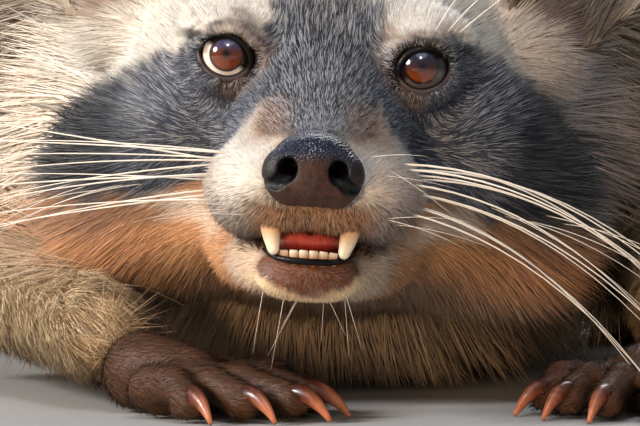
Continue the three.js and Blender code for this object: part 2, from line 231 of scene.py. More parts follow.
class Torso:
    """The trunk with its shoulders and haunches: radii round the spine, felt from outside, less the coat."""

    def __init__(self):
        tree, _ = tree_of(TORSO)
        points = np.concatenate([node_points(name) for name in TORSO])
        self.low, self.high = points[:, 1].min() + 4, points[:, 1].max() - 3
        self.y = np.linspace(self.low, self.high, TORSO_ROWS)
        self.spine = np.empty(TORSO_ROWS)
        turns = around(TORSO_TURNS)
        felt = np.zeros((TORSO_ROWS, TORSO_TURNS))
        for i, y in enumerate(self.y):
            top = tree.ray_cast((0, y, OUTSIDE), (0, 0, -1))[0]
            self.spine[i] = top[2] / 2 if top else self.spine[i - 1]
            for j, turn in enumerate(turns):
                way = np.array([math.sin(turn), 0, math.cos(turn)])
                start = way * OUTSIDE + [0, y, self.spine[i]]
                distance = tree.ray_cast(start.tolist(), (-way).tolist())[3]
                felt[i, j] = max(OUTSIDE - distance, 0) if distance else 0
        facing_down = ramp(-np.cos(turns), 0.35, 0.9)
        coat = TORSO_COAT + (BELLY_COAT - TORSO_COAT) * facing_down
        self.radius = np.maximum(evened(felt, 5) - coat, 0)

    def corners(self):
        reach = self.radius.max()
        return np.array([[-reach, self.low, 0], [reach, self.high, 2 * self.spine.max()]])

    def distance(self, points):
        x, y, z = points
        height = z - np.interp(y, self.y, self.spine)
        turn = np.arctan2(x, height) % (2 * math.pi) / (2 * math.pi) * TORSO_TURNS
        row = np.clip((y - self.low) / (self.high - self.low) * (TORSO_ROWS - 1), 0, TORSO_ROWS - 1.001)
        i, j = row.astype(int), turn.astype(int)
        s, t = row - i, turn - j
        j, after = j % TORSO_TURNS, (j + 1) % TORSO_TURNS
        near = self.radius[i, j] * (1 - t) + self.radius[i, after] * t
        far = self.radius[i + 1, j] * (1 - t) + self.radius[i + 1, after] * t
        beyond = np.maximum(np.maximum(self.low - y, y - self.high), 0)
        return (np.hypot(x, height) - near * (1 - s) - far * s) * UNDERSTATED + beyond


class Tail:
    """A round tapering rope through the middles of the tail's solids, less the coat."""

    def __init__(self):
        points = np.concatenate([node_points(name) for name in TAIL])
        middles = [node_middle(name) for name in TAIL]
        guide = np.array([2 * middles[0] - middles[1], *middles, 2 * middles[2] - middles[1]])
        share = share_along(guide, points)
        edges = np.linspace(share.min(), share.max(), 10)
        self.path, self.radii = [], []
        for a, b in zip(edges[:-1], edges[1:]):
            ring = points[(share >= a - 0.03) & (share <= b + 0.03)]
            middle = (ring.min(0) + ring.max(0)) / 2
            self.path.append(middle)
            self.radii.append(np.ptp(ring[:, 2]) / 2 - TAIL_COAT)
        way_in, way_out = self.path[0] - self.path[1], self.path[-1] - self.path[-2]
        self.path = np.array([self.path[0] + way_in * 1.2, *self.path, self.path[-1] - way_out * 0.25])
        self.radii = np.array([self.radii[0] + 4, *self.radii, self.radii[-1] * 0.6])

    def bars(self):
        ends = zip(self.path[:-1], self.path[1:], self.radii[:-1], self.radii[1:])
        return [Bar(*values) for values in ends]


def share_along(path, points):
    """Where points are along a path, from 0 to 1."""
    lengths = np.linalg.norm(np.diff(path, axis=0), axis=1)
    starts = np.concatenate([[0], np.cumsum(lengths)])
    best, share = np.full(len(points), 1e9), np.zeros(len(points))
    for a, b, start, length in zip(path[:-1], path[1:], starts, lengths):
        t = np.clip((points - a) @ (b - a) / length**2, 0, 1)
        gap = np.linalg.norm(points - a - t[:, None] * (b - a), axis=1)
        closer = gap < best
        best[closer], share[closer] = gap[closer], ((start + t * length) / starts[-1])[closer]
    return share


def spindle(name, coat):
    """A bar along a frame node's length, thinner by its coat."""
    points = node_points(name)
    middle = (points.min(0) + points.max(0)) / 2
    _, _, axes = np.linalg.svd(points - points.mean(0), full_matrices=False)
    axis = axes[0] if axes[0][1] < 0 else -axes[0]
    along = (points - middle) @ axis
    aside = np.linalg.norm(points - middle - along[:, None] * axis, axis=1)
    ends = []
    for end in (-1, 1):
        near = along * end > 0.3 * np.abs(along).max()
        radius = max(np.percentile(aside[near], 70) - coat, 4)
        ends.append((middle + axis * end * (np.abs(along).max() - radius - coat), radius))
    return Bar(ends[0][0], ends[1][0], ends[0][1], ends[1][1])


def claw_ends(name):
    """The root and tip of a claw."""
    points = node_points(name)
    palm = node_middle(name.replace("claw_", "").rsplit("_", 1)[0])
    far = np.linalg.norm((points - palm)[:, :2], axis=1)
    return points[far < far.min() + 1.5].mean(0), points[far > far.max() - 1.2].mean(0)


def add_paw(field, paw):
    """A broad palm and five fingers that end at the claws' roots."""
    points = node_points(paw)
    claws = [claw_ends(f"claw_{paw}_{i}") for i in range(1, 6)]
    roots = np.array([root for root, _ in claws])
    heading = unit((roots.mean(0) - node_middle(paw)) * [1, 1, 0])
    aside = np.array([-heading[1], heading[0], 0])
    heel = points[np.argmin(points @ heading)] * [1, 1, 0]
    knuckles = roots.mean(0) * [1, 1, 0] - heading * 25
    order = np.argsort(np.argsort(roots @ aside)) - 2  # each finger's place across the palm
    field.add(Bar(heel + heading * 10 + [0, 0, 9.5], knuckles + [0, 0, 8.0], 9, 7.2), 4)
    pad = knuckles + heading * 2 + [0, 0, 4.6]
    field.add(Bar(pad - aside * 11, pad + aside * 11, 4.2, 4.2), 4)
    for off, root in zip(order, roots):
        start = knuckles + aside * off * 6.8 + [0, 0, 7]
        middle = (start + root) / 2 + [0, 0, 2.4]
        end = root + unit(start - root) * 2.2
        end[2] = 5.0
        field.add(Bar(start, middle, 5.0, 3.6), 2.5)
        field.add(Bar(middle, end, 3.6, 3.5), 1.5)
        field.add(Ball(end * [1, 1, 0] + [0, 0, 3.8], [3.9, 3.9, 3.1]), 1.5)


tail = Tail()


def add_body(field):
    field.add(Torso(), 6)
    for bar in tail.bars():
        field.add(bar, 5)
    for side in SIDES:
        field.add(spindle(f"forearm_{side}", ARM_COAT), 14)
        field.add(spindle(f"shank_{side}", LEG_COAT), 14)


# ------------------------------------------------------------------ the head's shapes
# The flesh of the head: skull, muzzle, whisker pads, cheeks, brows, jaw and cupped ears. The sockets of the
# eyes and nose and the open mouth are then hollowed out of it.

EAR = {"height": 47.0, "half": 19.0, "thick": 3.4, "cup": 10.0}
EAR_AT = np.array([50.0, 103.0, 42.0])
EAR_TURNS = (26, -6, 24)  # degrees outwards, back, and round to face forwards


def turned(axis, degrees):
    c, s = math.cos(math.radians(degrees)), math.sin(math.radians(degrees))
    return {
        "x": np.array([[1, 0, 0], [0, c, -s], [0, s, c]]),
        "y": np.array([[c, 0, s], [0, 1, 0], [-s, 0, c]]),
        "z": np.array([[c, -s, 0], [s, c, 0], [0, 0, 1]]),
    }[axis]


class Ear:
    """A cupped leaf in the head's frame."""

    def __init__(self, side):
        out, back, round_ = EAR_TURNS
        self.axes = turned("y", side * out) @ turned("x", back) @ turned("z", side * round_)
        self.at = EAR_AT * [side, 1, 1]

    def corners(self):
        h, w = EAR["height"], EAR["half"]
        box = np.array([[x, y, z] for x in (-w, w) for y in (-14, 4) for z in (-6, h)])
        return box @ self.axes.T + self.at

    def distance(self, points):
        offset = [p - c for p, c in zip(points, self.at)]
        x, y, z = [sum(o * a for o, a in zip(offset, axis)) for axis in self.axes.T]
        up = np.clip(z / EAR["height"], 0, 1)
        half = EAR["half"] * np.sqrt(1 - up**3 * 0.999) * (0.6 + 0.4 * ramp(z, -8, 18)) + 1
        cup = -EAR["cup"] * (x / half) ** 2 * (1 - 0.4 * up) - 2.0
        sheet = (np.abs(y - cup) - EAR["thick"] / 2 * (1.4 - 0.7 * up)) * UNDERSTATED
        outline = np.maximum(np.abs(x) - half, z - EAR["height"])
        return np.maximum(np.maximum(sheet, outline), -6 - z)


EARS = {side: Ear(sign) for side, sign in SIDES.items()}


def both(*values):
    """A place on the head, on each side of it."""
    return [np.array(values, float) * [side, 1, 1] for side in SIDES.values()]


def add_head(field):
    def add(shape, k):
        field.add(shape, k, in_head=True)

    def add_pair(centre, radii, k):
        for c in both(*centre):
            add(Ball(c, radii), k)

    add(Ball([0, 130, 6], [52, 42, 42]), 14)
    add(Ball([0, 100, 20], [45, 42, 33]), 12)
    add(Bar([0, 18, -1.5], [0, 46, 3], 10.5, 17.0), 4)
    add(Bar([0, 46, 3], [0, 76, 14], 17.0, 26), 8)
    add_pair([36, 100, -6], [24, 27, 23], 12)
    add_pair([31, 80, 5], [18, 19, 19], 9)
    add_pair([15, 71, 28], [14, 14, 9], 7)
    add_pair([24, 66, 27], [10, 9, 9.5], 4)
    add_pair([10.8, 26, -5.0], [10.6, 17, 9.2], 5)
    add_pair([13, 39, -5.5], [10, 17, 10], 5)
    add_pair([5.4, 15.5, -9.6], [6.4, 5.4, 3.6], 2)
    add(Ball([0, 86, -14], [34, 34, 16]), 12)
    for start, end in zip(both(5, 20, -23.2), both(13, 58, -19)):
        add(Bar(start, end, 4.4, 9), 4)
    add(Ball([0, 18.5, -24], [10.5, 7.2, 4.6]), 3)
    add_pair([45, 102, 33], [13, 14, 14], 8)
    for side in SIDES.values():
        add(Ball(EYE_AT * [side, 1, 1], EYE_RADIUS + 1.5), 3)
    for ear in EARS.values():
        add(ear, 5)


def carve_head(field):
    def carve(shape, k):
        field.carve(shape, k, in_head=True)

    carve(Ball([0, 22, -17.0], [13.2, 22, 2.8]), 1.0)
    carve(Ball([0, 32, -17], [12, 16, 5]), 1.5)
    for side in SIDES.values():
        eye = EYE_AT * [side, 1, 1]
        carve(Ball(eye + [side * 0.4, -6.5, -0.1], [6.2, 6, 4.9]), 0.6)
        carve(Ball(eye, EYE_RADIUS + 0.15), 0.2)
    carve(Ball([0, NOSE_DEPTH, 0], [9.6, 9.5, 7.4]), 1.5)


# ------------------------------------------------------------------ the skin
# One closed mesh covers the head, trunk, legs and tail, and is finest over the face and the paws. The coat
# grows out of it, the claws are rooted in it, and the eyes, nose and teeth sit in its hollows.


def places(low, high, *zones):
    """Rising places from low to high. Each zone is where it ends and the step inside it."""
    made = [low]
    while made[-1] < high:
        step = next((s for end, s in zones if made[-1] < end), zones[-1][1])
        made.append(made[-1] + step)
    return np.array(made)


def mesh_object(name, points, faces):
    """A mesh piece from points in millimetres and faces that all have the same number of corners."""
    mesh = bpy.data.meshes.new(name)
    faces = np.asarray(faces, np.int32)
    mesh.vertices.add(len(points))
    mesh.vertices.foreach_set("co", (np.asarray(points) * MM).astype(np.float32).ravel())
    mesh.loops.add(faces.size)
    mesh.loops.foreach_set("vertex_index", faces.ravel())
    mesh.polygons.add(len(faces))
    mesh.polygons.foreach_set("loop_start", np.arange(0, faces.size, faces.shape[1], dtype=np.int32))
    mesh.update(calc_edges=True)
    mesh.shade_smooth()
    piece = bpy.data.objects.new(name, mesh)
    bpy.context.scene.collection.objects.link(piece)
    return piece


def neighbours(quads, count):
    """Each corner next to each of its neighbours, in two lists, and how many neighbours it has."""
    edges = np.concatenate([quads[:, [i, (i + 1) % 4]] for i in range(4)])
    corners, others = np.concatenate([edges, edges[:, ::-1]]).T
    return corners, others, np.bincount(corners, minlength=count)[:, None]


def mean_around(values, beside):
    """The mean of the values at each corner's neighbours."""
    corners, others, number = beside
    return np.stack([np.bincount(corners, v[others], len(values)) for v in values.T], 1) / number


def relaxed(points, quads, rounds):
    """Points moved towards their neighbours and back, which evens the grid's steps and keeps the size."""
    beside = neighbours(quads, len(points))
    for step in (0.5, -0.52) * rounds:
        points = points + step * (mean_around(points, beside) - points)
    return points


PAWS = [f"{kind}_{side}" for kind in ("hand", "foot") for side in SIDES]

FAR = 999.0
MARGIN = 4.0
STEPS = [
    [(-68, 2.6), (66, 1.42), (FAR, 2.6)],
    [(-160, 1.35), (-135, 2.4), (90, 6.0), (190, 3.0), (FAR, 6.0)],
    [(104, 1.42), (FAR, 3.7)],
]  # along x, y and z: where each zone ends, and the grid's step in it

flesh_low = np.min([node_points(n).min(0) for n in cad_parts], axis=0) - MARGIN
flesh_high = np.max([node_points(n).max(0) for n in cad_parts], axis=0) + MARGIN
body_field = Field(*[places(a, b, *zones) for a, b, zones in zip(flesh_low, flesh_high, STEPS)])
add_body(body_field)
add_head(body_field)
for paw in PAWS:
    add_paw(body_field, paw)
carve_head(body_field)
skin_points, skin_faces = body_field.polygons()
skin_points = relaxed(skin_points, skin_faces, 3)
skin_points[:, 2] = np.maximum(skin_points[:, 2], 0)
skin = mesh_object("skin", skin_points, skin_faces)

# ------------------------------------------------------------------ the markings
# The fur has a black mask, white brows and muzzle, a grizzled back, pale forearms and a ringed tail, with
# some painted shade on the animal's left. The skin and the tufts both take their colours from here, so that
# they agree.


def srgb(code):
    """A colour code such as "e8e0d4" in linear light."""
    value = np.array([int(code[i : i + 2], 16) for i in (0, 2, 4)]) / 255
    return np.where(value <= 0.04045, value / 12.92, ((value + 0.055) / 1.055) ** 2.4)


CREAM, WHITE, TAN, RUST = map(srgb, ("e6dacb", "d5cfc5", "957358", "cf9a6e"))
SLATE, BLACK, SEPIA, GRIZZLE = map(srgb, ("3a3f4c", "0d0b0a", "3d2c25", "343740"))
CROWN, BODY, FLANK, BELLY = map(srgb, ("837871", "756a5f", "8d7d6c", "a08a72"))
FOREARM, PAW, RING, TAIL_PALE = map(srgb, ("cbb08d", "533a2b", "2a2320", "b09c82"))
THROAT, NAPE = map(srgb, ("d08f55", "e0d4c2"))
LIP, CHIN, CHIN_RIM_AND_GLOW, JAW = map(srgb, ("9b6b44", "70462f", "ffdcb2", "dcc0a6"))
UMBER, FOLD, GREIGE, ROSE_SHADE = map(srgb, ("5e4c45", "a3928a", "8c7b6c", "ab938a"))
# The palest hairs take a cool tint, which is a painted sheen of the sky.
COOL_SHEEN = np.array([0.95, 0.98, 1.05])  # the tint of the palest hairs on the mask and bridge


def band(value, low, high, soft):
    return ramp(value, low - soft, low + soft) * (1 - ramp(value, high - soft, high + soft))


def ripple(points, size, seed):
    """A smooth random number from -1 to 1 that varies over about size."""
    rng = np.random.default_rng(seed)
    total = 0
    for _ in range(7):
        direction = unit(rng.normal(size=3)) * rng.uniform(0.6, 1.7)
        total = total + np.sin(points @ direction * (2 * math.pi / size) + rng.uniform(0, 6.28))
    return total / 3.2


def paint(colours, amount, colour):
    colours += np.asarray(amount)[:, None] * (colour - colours)


# The heights of the mask's upper and lower edge, at these distances from the middle of the face.
MASK_U = [8, 14, 22, 30, 40, 50, 62, 72]
MASK_TOP = [23, 29, 30, 27, 20, 13, 9, 6]
MASK_LOW = [22, 10, -3, -6.5, -8.5, -10, -10, -7]


def mask_edges(head):
    """The heights of the mask's upper and lower edge, the upper one a little higher on the left."""
    u = np.abs(head[:, 0])
    higher = 5 * ramp(head[:, 0], 22, 34) * (1 - ramp(u, 48, 60))
    return np.interp(u, MASK_U, MASK_TOP) + higher, np.interp(u, MASK_U, MASK_LOW)


def face_colours(head):
    wander = np.stack([ripple(head, 9, i) + ripple(head, 4, i + 3) * 0.6 for i in (1, 2, 3)], 1)
    ragged = head + wander * (0.4 + 1.1 * ramp(head[:, 1:2], 24, 50))
    x, a, z = ragged.T
    u = np.abs(x)
    top, low = mask_edges(ragged)
    colours = np.tile(CROWN, (len(head), 1))
    toward_side = ramp(u, 25, 50)
    paint(colours, toward_side * 0.4 * (1 - ramp(a, 120, 150)), TAN)
    paint(colours, 1 - ramp(z, -4, 6), FLANK)
    brow = band(z, top - 1, top + 15 + 0.1 * u, 3) * ramp(u, 7, 11)
    paint(colours, brow, WHITE)
    paint(colours, brow * (1 - ramp(z, top, top + 4)) * (1 - ramp(u, 24, 34)) * 0.75, TAN)
    ruff = ramp(u, 58, 66) * band(z, -16, 34, 7)
    # The ruff is painted a little darker on the left, as shade.
    paint(colours, ruff, CREAM * (1 - ramp(x, 0, 20)[:, None] * 0.12))
    cheek = (1 - ramp(z, low - 2, low + 1)) * ramp(a, 34, 46)
    paint(colours, cheek * (1 - ruff), RUST)
    paint(colours, cheek * band(z, low - 7, low - 1, 2.0) * (1 - ruff) * 0.7, TAN)
    paint(colours, (1 - ramp(z, -32, -18)) * ramp(a, 50, 70), BELLY)
    streak_at = z + 14 - 0.5 * (u - 24)
    paint(colours, cheek * band(streak_at, -2.5, 2.5, 2) * band(u, 20, 40, 4) * 0.6, CREAM)
    mask = ramp(z, low - 2.5, low + 2.5) * (1 - ramp(z, top - 2.5, top + 2.5))
    mask *= ramp(u, 10, 13) * (1 - ramp(u, 58, 66)) * ramp(a, 32, 40)
    bridge = (1 - ramp(u, 11, 15)) * ramp(z, 4, 8) * (1 - ramp(a, 58, 66))
    paint(colours, bridge, GRIZZLE)
    stripe = (1 - ramp(u, 4, 9)) * ramp(a, 46, 60) * ramp(z, 16, 24)
    paint(colours, stripe * 0.55, SEPIA)
    muzzle = (1 - ramp(a, 36, 48)) * (1 - ramp(z, 4.5, 7.5) * (1 - ramp(u, 11.5, 15)))
    paint(colours, muzzle, WHITE)
    paint(colours, muzzle * ramp(u, 17, 23) * (1 - ramp(z, -4, 4)) * 0.35, TAN)
    # The muzzle's left side is painted pinkish brown, as shade.
    paint(colours, muzzle * ramp(x, 4, 16) * 0.5, ROSE_SHADE)
    paint(colours, band(z, 4, 14, 3) * band(u, 6, 17, 3) * (1 - ramp(a, 30, 42)) * 0.6, TAN)
    paint(colours, mask, SLATE)
    paint(colours, mask * ramp(u, 38, 54) * 0.95, BLACK)
    lip = (1 - ramp(z, -9.0, -6.0)) * (1 - ramp(u, 10, 17)) * (1 - ramp(a, 24, 36))
    paint(colours, lip * 0.85, LIP)
    paint(colours, (1 - ramp(z, -12, -7)) * muzzle * ramp(u, 12, 18) * 0.45, TAN)
    jaw = (1 - ramp(z, -17.5, -16)) * (1 - ramp(a, 34, 46))
    paint(colours, jaw, JAW)
    chin_side = 13 + 0.8 * (z + 20.5)
    chin_edge = -27.5 + 0.03 * u**2
    chin = jaw * (1 - ramp(u - chin_side, -1.5, 1.5)) * (1 - ramp(a, 20, 27))
    paint(colours, chin * ramp(z - chin_edge, -0.6, 1.0), CHIN)
    # The chin's rim of pale fur is its own colour, painted brighter and warmer as light glowing through it.
    paint(colours, jaw * (1 - ramp(z - chin_edge, -1.0, 0.6)) * (1 - ramp(a, 22, 40)), CHIN_RIM_AND_GLOW)
    corner = band(z, -19.5, -14.2, 1.4) * band(u, 10, 19, 2.5) * ramp(a, 12, 18) * (1 - ramp(a, 34, 42))
    paint(colours, corner * 0.9, SEPIA * 0.7)
    # The left cheek, outer mask and ruff above them are painted darker and cooler here, as shade.
    painted_shade_left = ramp(x, 30, 62) * ramp(z, -18, -2)
    return colours * (1 - painted_shade_left[:, None] * [0.44, 0.46, 0.4])


def odd_hairs(head, headed):
    """How many hairs are much darker and how many much paler than their marking, and how pale those are."""
    x, a, z = head.T
    u = np.abs(x)
    top, low = mask_edges(head)
    in_mask = headed * (z > low) * (z < top) * (u > 11) * (a > 34) * (1 - ramp(u, 38, 50))
    bridge = headed * (1 - ramp(u, 11, 15)) * ramp(z, 5, 9) * (1 - in_mask)
    lip = headed * (1 - ramp(z, -9, -4)) * (1 - ramp(a, 26, 38)) * ramp(z, -16, -15)
    chin = headed * (1 - ramp(z, -17.5, -16)) * (1 - ramp(u, 9, 12)) * (1 - ramp(a, 20, 26))
    behind = headed * ramp(a, 60, 80)
    body = 1 - headed
    dark = 0.3 * bridge + 0.35 * lip + 0.05 * behind + 0.2 * body
    # On the mask the pale hairs are partly painted glints.
    pale = 0.28 * in_mask + 0.34 * bridge + 0.25 * chin + 0.35 * behind * (1 - in_mask) + 0.3 * body
    return dark, pale, 0.25 * in_mask + 0.27 * bridge + 0.12 * chin + 0.1 * behind


OPENING = {"out": 6.1, "in": 5.4, "up": 4.0, "down": 4.5}  # of the eyelids, from the eye's middle
TILT = math.radians(17.0)


def from_eye(head):
    """The way to each point from the middle of the nearer eye."""
    eye = np.tile(EYE_AT, (len(head), 1))
    eye[:, 0] *= np.sign(head[:, 0])
    return head - eye


def near_eye(head):
    """How far each point is outside the nearer eyeball."""
    return np.linalg.norm(from_eye(head), axis=1) - EYE_RADIUS


def eye_edge(head):
    """How far outside the eyelids' opening each point is, and its way from the eye's middle, out and up."""
    aside, above = np.abs(head[:, 0]) - EYE_AT[0], head[:, 2] - EYE_AT[2]
    c, s = math.cos(TILT), math.sin(TILT)
    out, up = aside * c + above * s, above * c - aside * s
    far = np.maximum(np.hypot(out, up), 1e-6)
    half = np.where(up > 0, OPENING["up"], OPENING["down"])
    return far - 1 / np.hypot(out / far / OPENING["out"], up / far / half), out, up


def face_with_eyes(head):
    """The face with black upper lids, a dark corner at each side of the eye and a pale fold over it."""
    colours = face_colours(head)
    beside = 1 - ramp(near_eye(head), 6, 10)
    edge, out, up = eye_edge(head + np.stack([ripple(head, 5, i) for i in (4, 5, 6)], 1) * 0.4)
    inner = ramp(-out, -2, 2) * (1 - ramp(edge, 3, 7)) * beside
    paint(colours, inner * 0.7, UMBER)
    fold = band(edge, 1.8, 2.8, 0.4) * ramp(up - 0.6 * out, 2, 5) * (1 - ramp(out, 0, 3)) * beside
    paint(colours, fold * 0.7, FOLD)
    # The dark ring is painted wider round the left eye, as shade.
    left_eye_shade = 2.0 * ramp(head[:, 0], 0, 10)
    dark = (1 - ramp(edge, 0.7 + left_eye_shade, 1.6 + left_eye_shade)) * ramp(up, -1.5, 0.5)
    dark = np.maximum(dark, band(up, 0.2, 3.0, 0.7) * ramp(out, 4, 6) * (1 - ramp(out, 9, 15)))
    dark = np.maximum(dark, band(up, -3.2, -0.6, 0.8) * ramp(-out, 4, 6) * (1 - ramp(-out, 7, 9)))
    paint(colours, dark * beside * 0.9, BLACK)
    return colours


def on_ears(head):
    """How far each point belongs to each ear, from 0 to 1."""
    return {side: 1 - ramp(ear.distance(head.T), 0.5, 4.0) for side, ear in EARS.items()}


# The left ear's foot is darkened as painted shade.
EAR_BASE_TONE_AND_SHADE = {"left": 0.14, "right": 0.85}  # how pale the long fur at the foot of each ear is
TAIL_RINGS = 6


def body_colours(points, region):
    """The colours of all but the face. region holds each point's share of every frame node."""
    x, y, z = points.T
    head = to_head(points)
    ears = on_ears(head)
    back = ramp(z, 70, 150)
    front = 1 - ramp(y, -150, -95)
    colours = BELLY + (FLANK - BELLY) * ramp(z, 10, 60)[:, None]
    colours = colours + (BODY * 0.75 - colours) * back[:, None]
    colours *= 1 + 0.16 * ripple(points, 15, 60)[:, None]
    paint(colours, (1 - ramp(np.abs(x), 8, 45)) * back * 0.5, SEPIA)
    # The throat is painted darker towards the left, as shade.
    throat_with_shade = THROAT * (1 - ramp(x, -35, 5)[:, None] * [0.6, 0.45, 0.1])
    paint(colours, front * (1 - ramp(z, 55, 85)), throat_with_shade)
    nape = front * ramp(z, 15, 45) * (1 - ramp(z, 105, 130)) * ramp(np.abs(x), 40, 62)
    # The pale nape is painted less pale on the left, as shade.
    paint(colours, nape * (1 - 0.65 * ramp(x, -20, 20)), NAPE)
    for side in SIDES:
        paint(colours, region[f"upper_arm_{side}"] * 0.2, FOREARM)
        paint(colours, region[f"forearm_{side}"], FOREARM)
        paint(colours, region[f"hand_{side}"], PAW)
        paint(colours, region[f"shank_{side}"], FLANK)
        paint(colours, region[f"foot_{side}"], PAW * 1.5)
        ear, eared = EARS[side], ears[side]
        across, ahead, height = ((head - ear.at) @ ear.axes).T
        rim = np.maximum(ramp(np.abs(across), 12, 17), ramp(height, 36, 44))
        cupped = ramp(-ahead - EAR["cup"] * (across / EAR["half"]) ** 2, 1.6, 3.0)
        paint(colours, eared, CROWN * 0.6)
        paint(colours, eared * cupped * 0.75, GREIGE)
        # The foot of each ear is painted pale, the left one darker as shade.
        paint(colours, eared * (1 - ramp(height, 4, 22)) * 0.8, CREAM * EAR_BASE_TONE_AND_SHADE[side])
        paint(colours, eared * rim * ramp(height, 0, 14), CREAM)
    tailed = sum(region[name] for name in TAIL)
    along = share_along(tail.path, points)
    rings = ramp(np.sin(along * TAIL_RINGS * 2 * math.pi - 1.2), 0.0, 0.45)
    rings = np.maximum(rings, ramp(along, 0.9, 0.93))
    paint(colours, tailed, TAIL_PALE)
    paint(colours, tailed * rings, RING)
    return colours


# ------------------------------------------------------------------ the lie of the coat
# The hairs run back from the nose, along the trunk, down each limb and along the tail. Each corner of the
# skin knows its frame node and its markings, and the way, length and fineness of the coat there.

FLESH = sorted(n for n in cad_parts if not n.startswith(("eye", "canine", "claw", "nose", "tongue")))


def nearest_node(points):
    """The index in FLESH of the frame node nearest to each point."""
    tree, owners = tree_of(FLESH)
    return owners[[tree.find_nearest(p)[2] for p in points.tolist()]]


def spread(values, rounds):
    """Values at the skin's corners, evened out over their neighbours."""
    values = values.astype(float)
    for _ in range(rounds):
        values = 0.5 * values + 0.5 * mean_around(values, skin_beside)
    return values


skin_beside = neighbours(skin_faces, len(skin_points))
skin_normals = np.empty(3 * len(skin_points), np.float32)
skin.data.vertices.foreach_get("normal", skin_normals)
skin_normals = skin_normals.reshape(-1, 3).astype(float)
skin_head = to_head(skin_points)
node_of = nearest_node(skin_points)
shares = spread(np.eye(len(FLESH))[node_of], 20)
region = {name: shares[:, i] for i, name in enumerate(FLESH)}
on_head = np.isin(node_of, [FLESH.index("head"), FLESH.index("lower_jaw")])
in_tail = np.isin(node_of, [FLESH.index(name) for name in TAIL])
tail_share = share_along(tail.path, skin_points[in_tail])
ear_share = np.maximum(*on_ears(skin_head).values())


def limb_way(name):
    axis = spindle(name, 5)
    return unit(axis.end - axis.start)


def coat_flow():
    """The way the coat lies at each corner of the skin."""
    flow = np.zeros_like(skin_points)
    flow += [0, 1, 0]
    flow[:, 2] -= 0.35 * ramp(np.abs(skin_points[:, 0]), 20, 80)
    faces_ahead = ramp(-skin_normals[:, 1], 0.1, 0.7)
    flow[:, 0] += 0.6 * faces_ahead * np.clip(skin_points[:, 0] / 40, -1, 1)
    flow[:, 2] -= 0.8 * faces_ahead
    for i, name in enumerate(FLESH):
        if name.startswith(("forearm", "hand", "foot")):
            flow[node_of == i] = limb_way(name)
        if name.startswith(("upper_arm", "thigh")):
            flow[node_of == i] = [0, 0.7, -0.7]
    step = np.minimum((tail_share * (len(tail.path) - 1)).astype(int), len(tail.path) - 2)
    flow[in_tail] = unit(np.diff(tail.path, axis=0))[step]
    head_flow = unit(skin_head - np.array([0, -14, 2.0])) + [0, 0.15, 0]
    off_eye = unit(from_eye(skin_head) * [1, 0.1, 1])
    eye_pull = (1 - ramp(near_eye(skin_head), 1.5, 9))[:, None]
    head_flow = unit(head_flow) * (1 - 0.85 * eye_pull) + off_eye * 0.85 * eye_pull
    on_skull = on_head | (ear_share > 0)
    flow[on_skull] = (head_flow @ HEAD)[on_skull]
    on_snout = ramp(-skin_head[:, 1:2], -100, -80) * on_head[:, None]
    lie = spread(flow, 5) * on_snout + spread(flow, 40) * (1 - on_snout)
    lie *= 1 - ear_share[:, None]
    for side, share in on_ears(skin_head).items():
        lie += share[:, None] * (EARS[side].axes[:, 2] @ HEAD)
    return unit(lie)


def coat_length():
    """The coat's length at each corner of the skin."""
    r = np.linalg.norm(skin_head, axis=1)
    u, z = np.abs(skin_head[:, 0]), skin_head[:, 2]
    head = np.interp(r, [10, 22, 40, 55, 70, 90, 115, 135], [1.5, 3.0, 4.6, 5.5, 7.5, 10, 12, 20])
    head *= 1 - 0.45 * ramp(z, -4, 10) * (1 - ramp(u, 50, 70)) * (1 - ramp(r, 100, 130))
    head *= 1 - 0.5 * (1 - ramp(z, -19, -16)) * (1 - ramp(skin_head[:, 1], 24, 34))
    head += 11 * ramp(u, 36, 54) * (1 - ramp(z, 12, 34)) + 4 * ramp(r, 66, 84) * (1 - ramp(z, -16, -4))
    head = np.minimum(head, 1.5 + 0.42 * np.maximum(near_eye(skin_head) - 1.2, 0))
    length = np.full(len(skin_points), TRUNK_COAT)
    for i, name in enumerate(FLESH):
        for start, value in LIMB_COATS.items():
            if name.startswith(start):
                length[node_of == i] = value
    length[on_head] = head[on_head]
    length[in_tail] *= 1 - 0.55 * ramp(tail_share, 0.82, 0.98)
    length = spread(length[:, None], 25)[:, 0]
    near = on_head & (skin_head[:, 1] < 70)
    length[near] = head[near]
    for side, share in on_ears(skin_head).items():
        height = ((skin_head - EARS[side].at) @ EARS[side].axes)[:, 2]
        length += (14 - 8.5 * ramp(height, 0, 24) - length) * ramp(share, 0, 0.6)
    return length


TRUNK_COAT = 34.0
LIMB_COATS = {"hand": 3.2, "foot": 4.5, "forearm": 13, "shank": 15, "upper_arm": 24, "thigh": 32}
flow, length = coat_flow(), coat_length()
fineness = np.where(on_head, 1.0, np.interp(skin_points[:, 1], [-150, 0], [0.6, 1.0]))


def skin_colours():
    face = face_with_eyes(skin_head)
    body = body_colours(skin_points, region)
    headness = spread(on_head[:, None].astype(float), 10) * (1 - ear_share[:, None])
    return face * headness + body * (1 - headness), headness[:, 0]


markings, headness = skin_colours()

# ------------------------------------------------------------------ the coat
# A tuft is a thin three-sided spike of hair, rooted in the skin and lying along the coat's way. It has no
# face at its root, which is mostly under the skin. For the most part its shading follows the skin, as light
# scattered through real hair does.

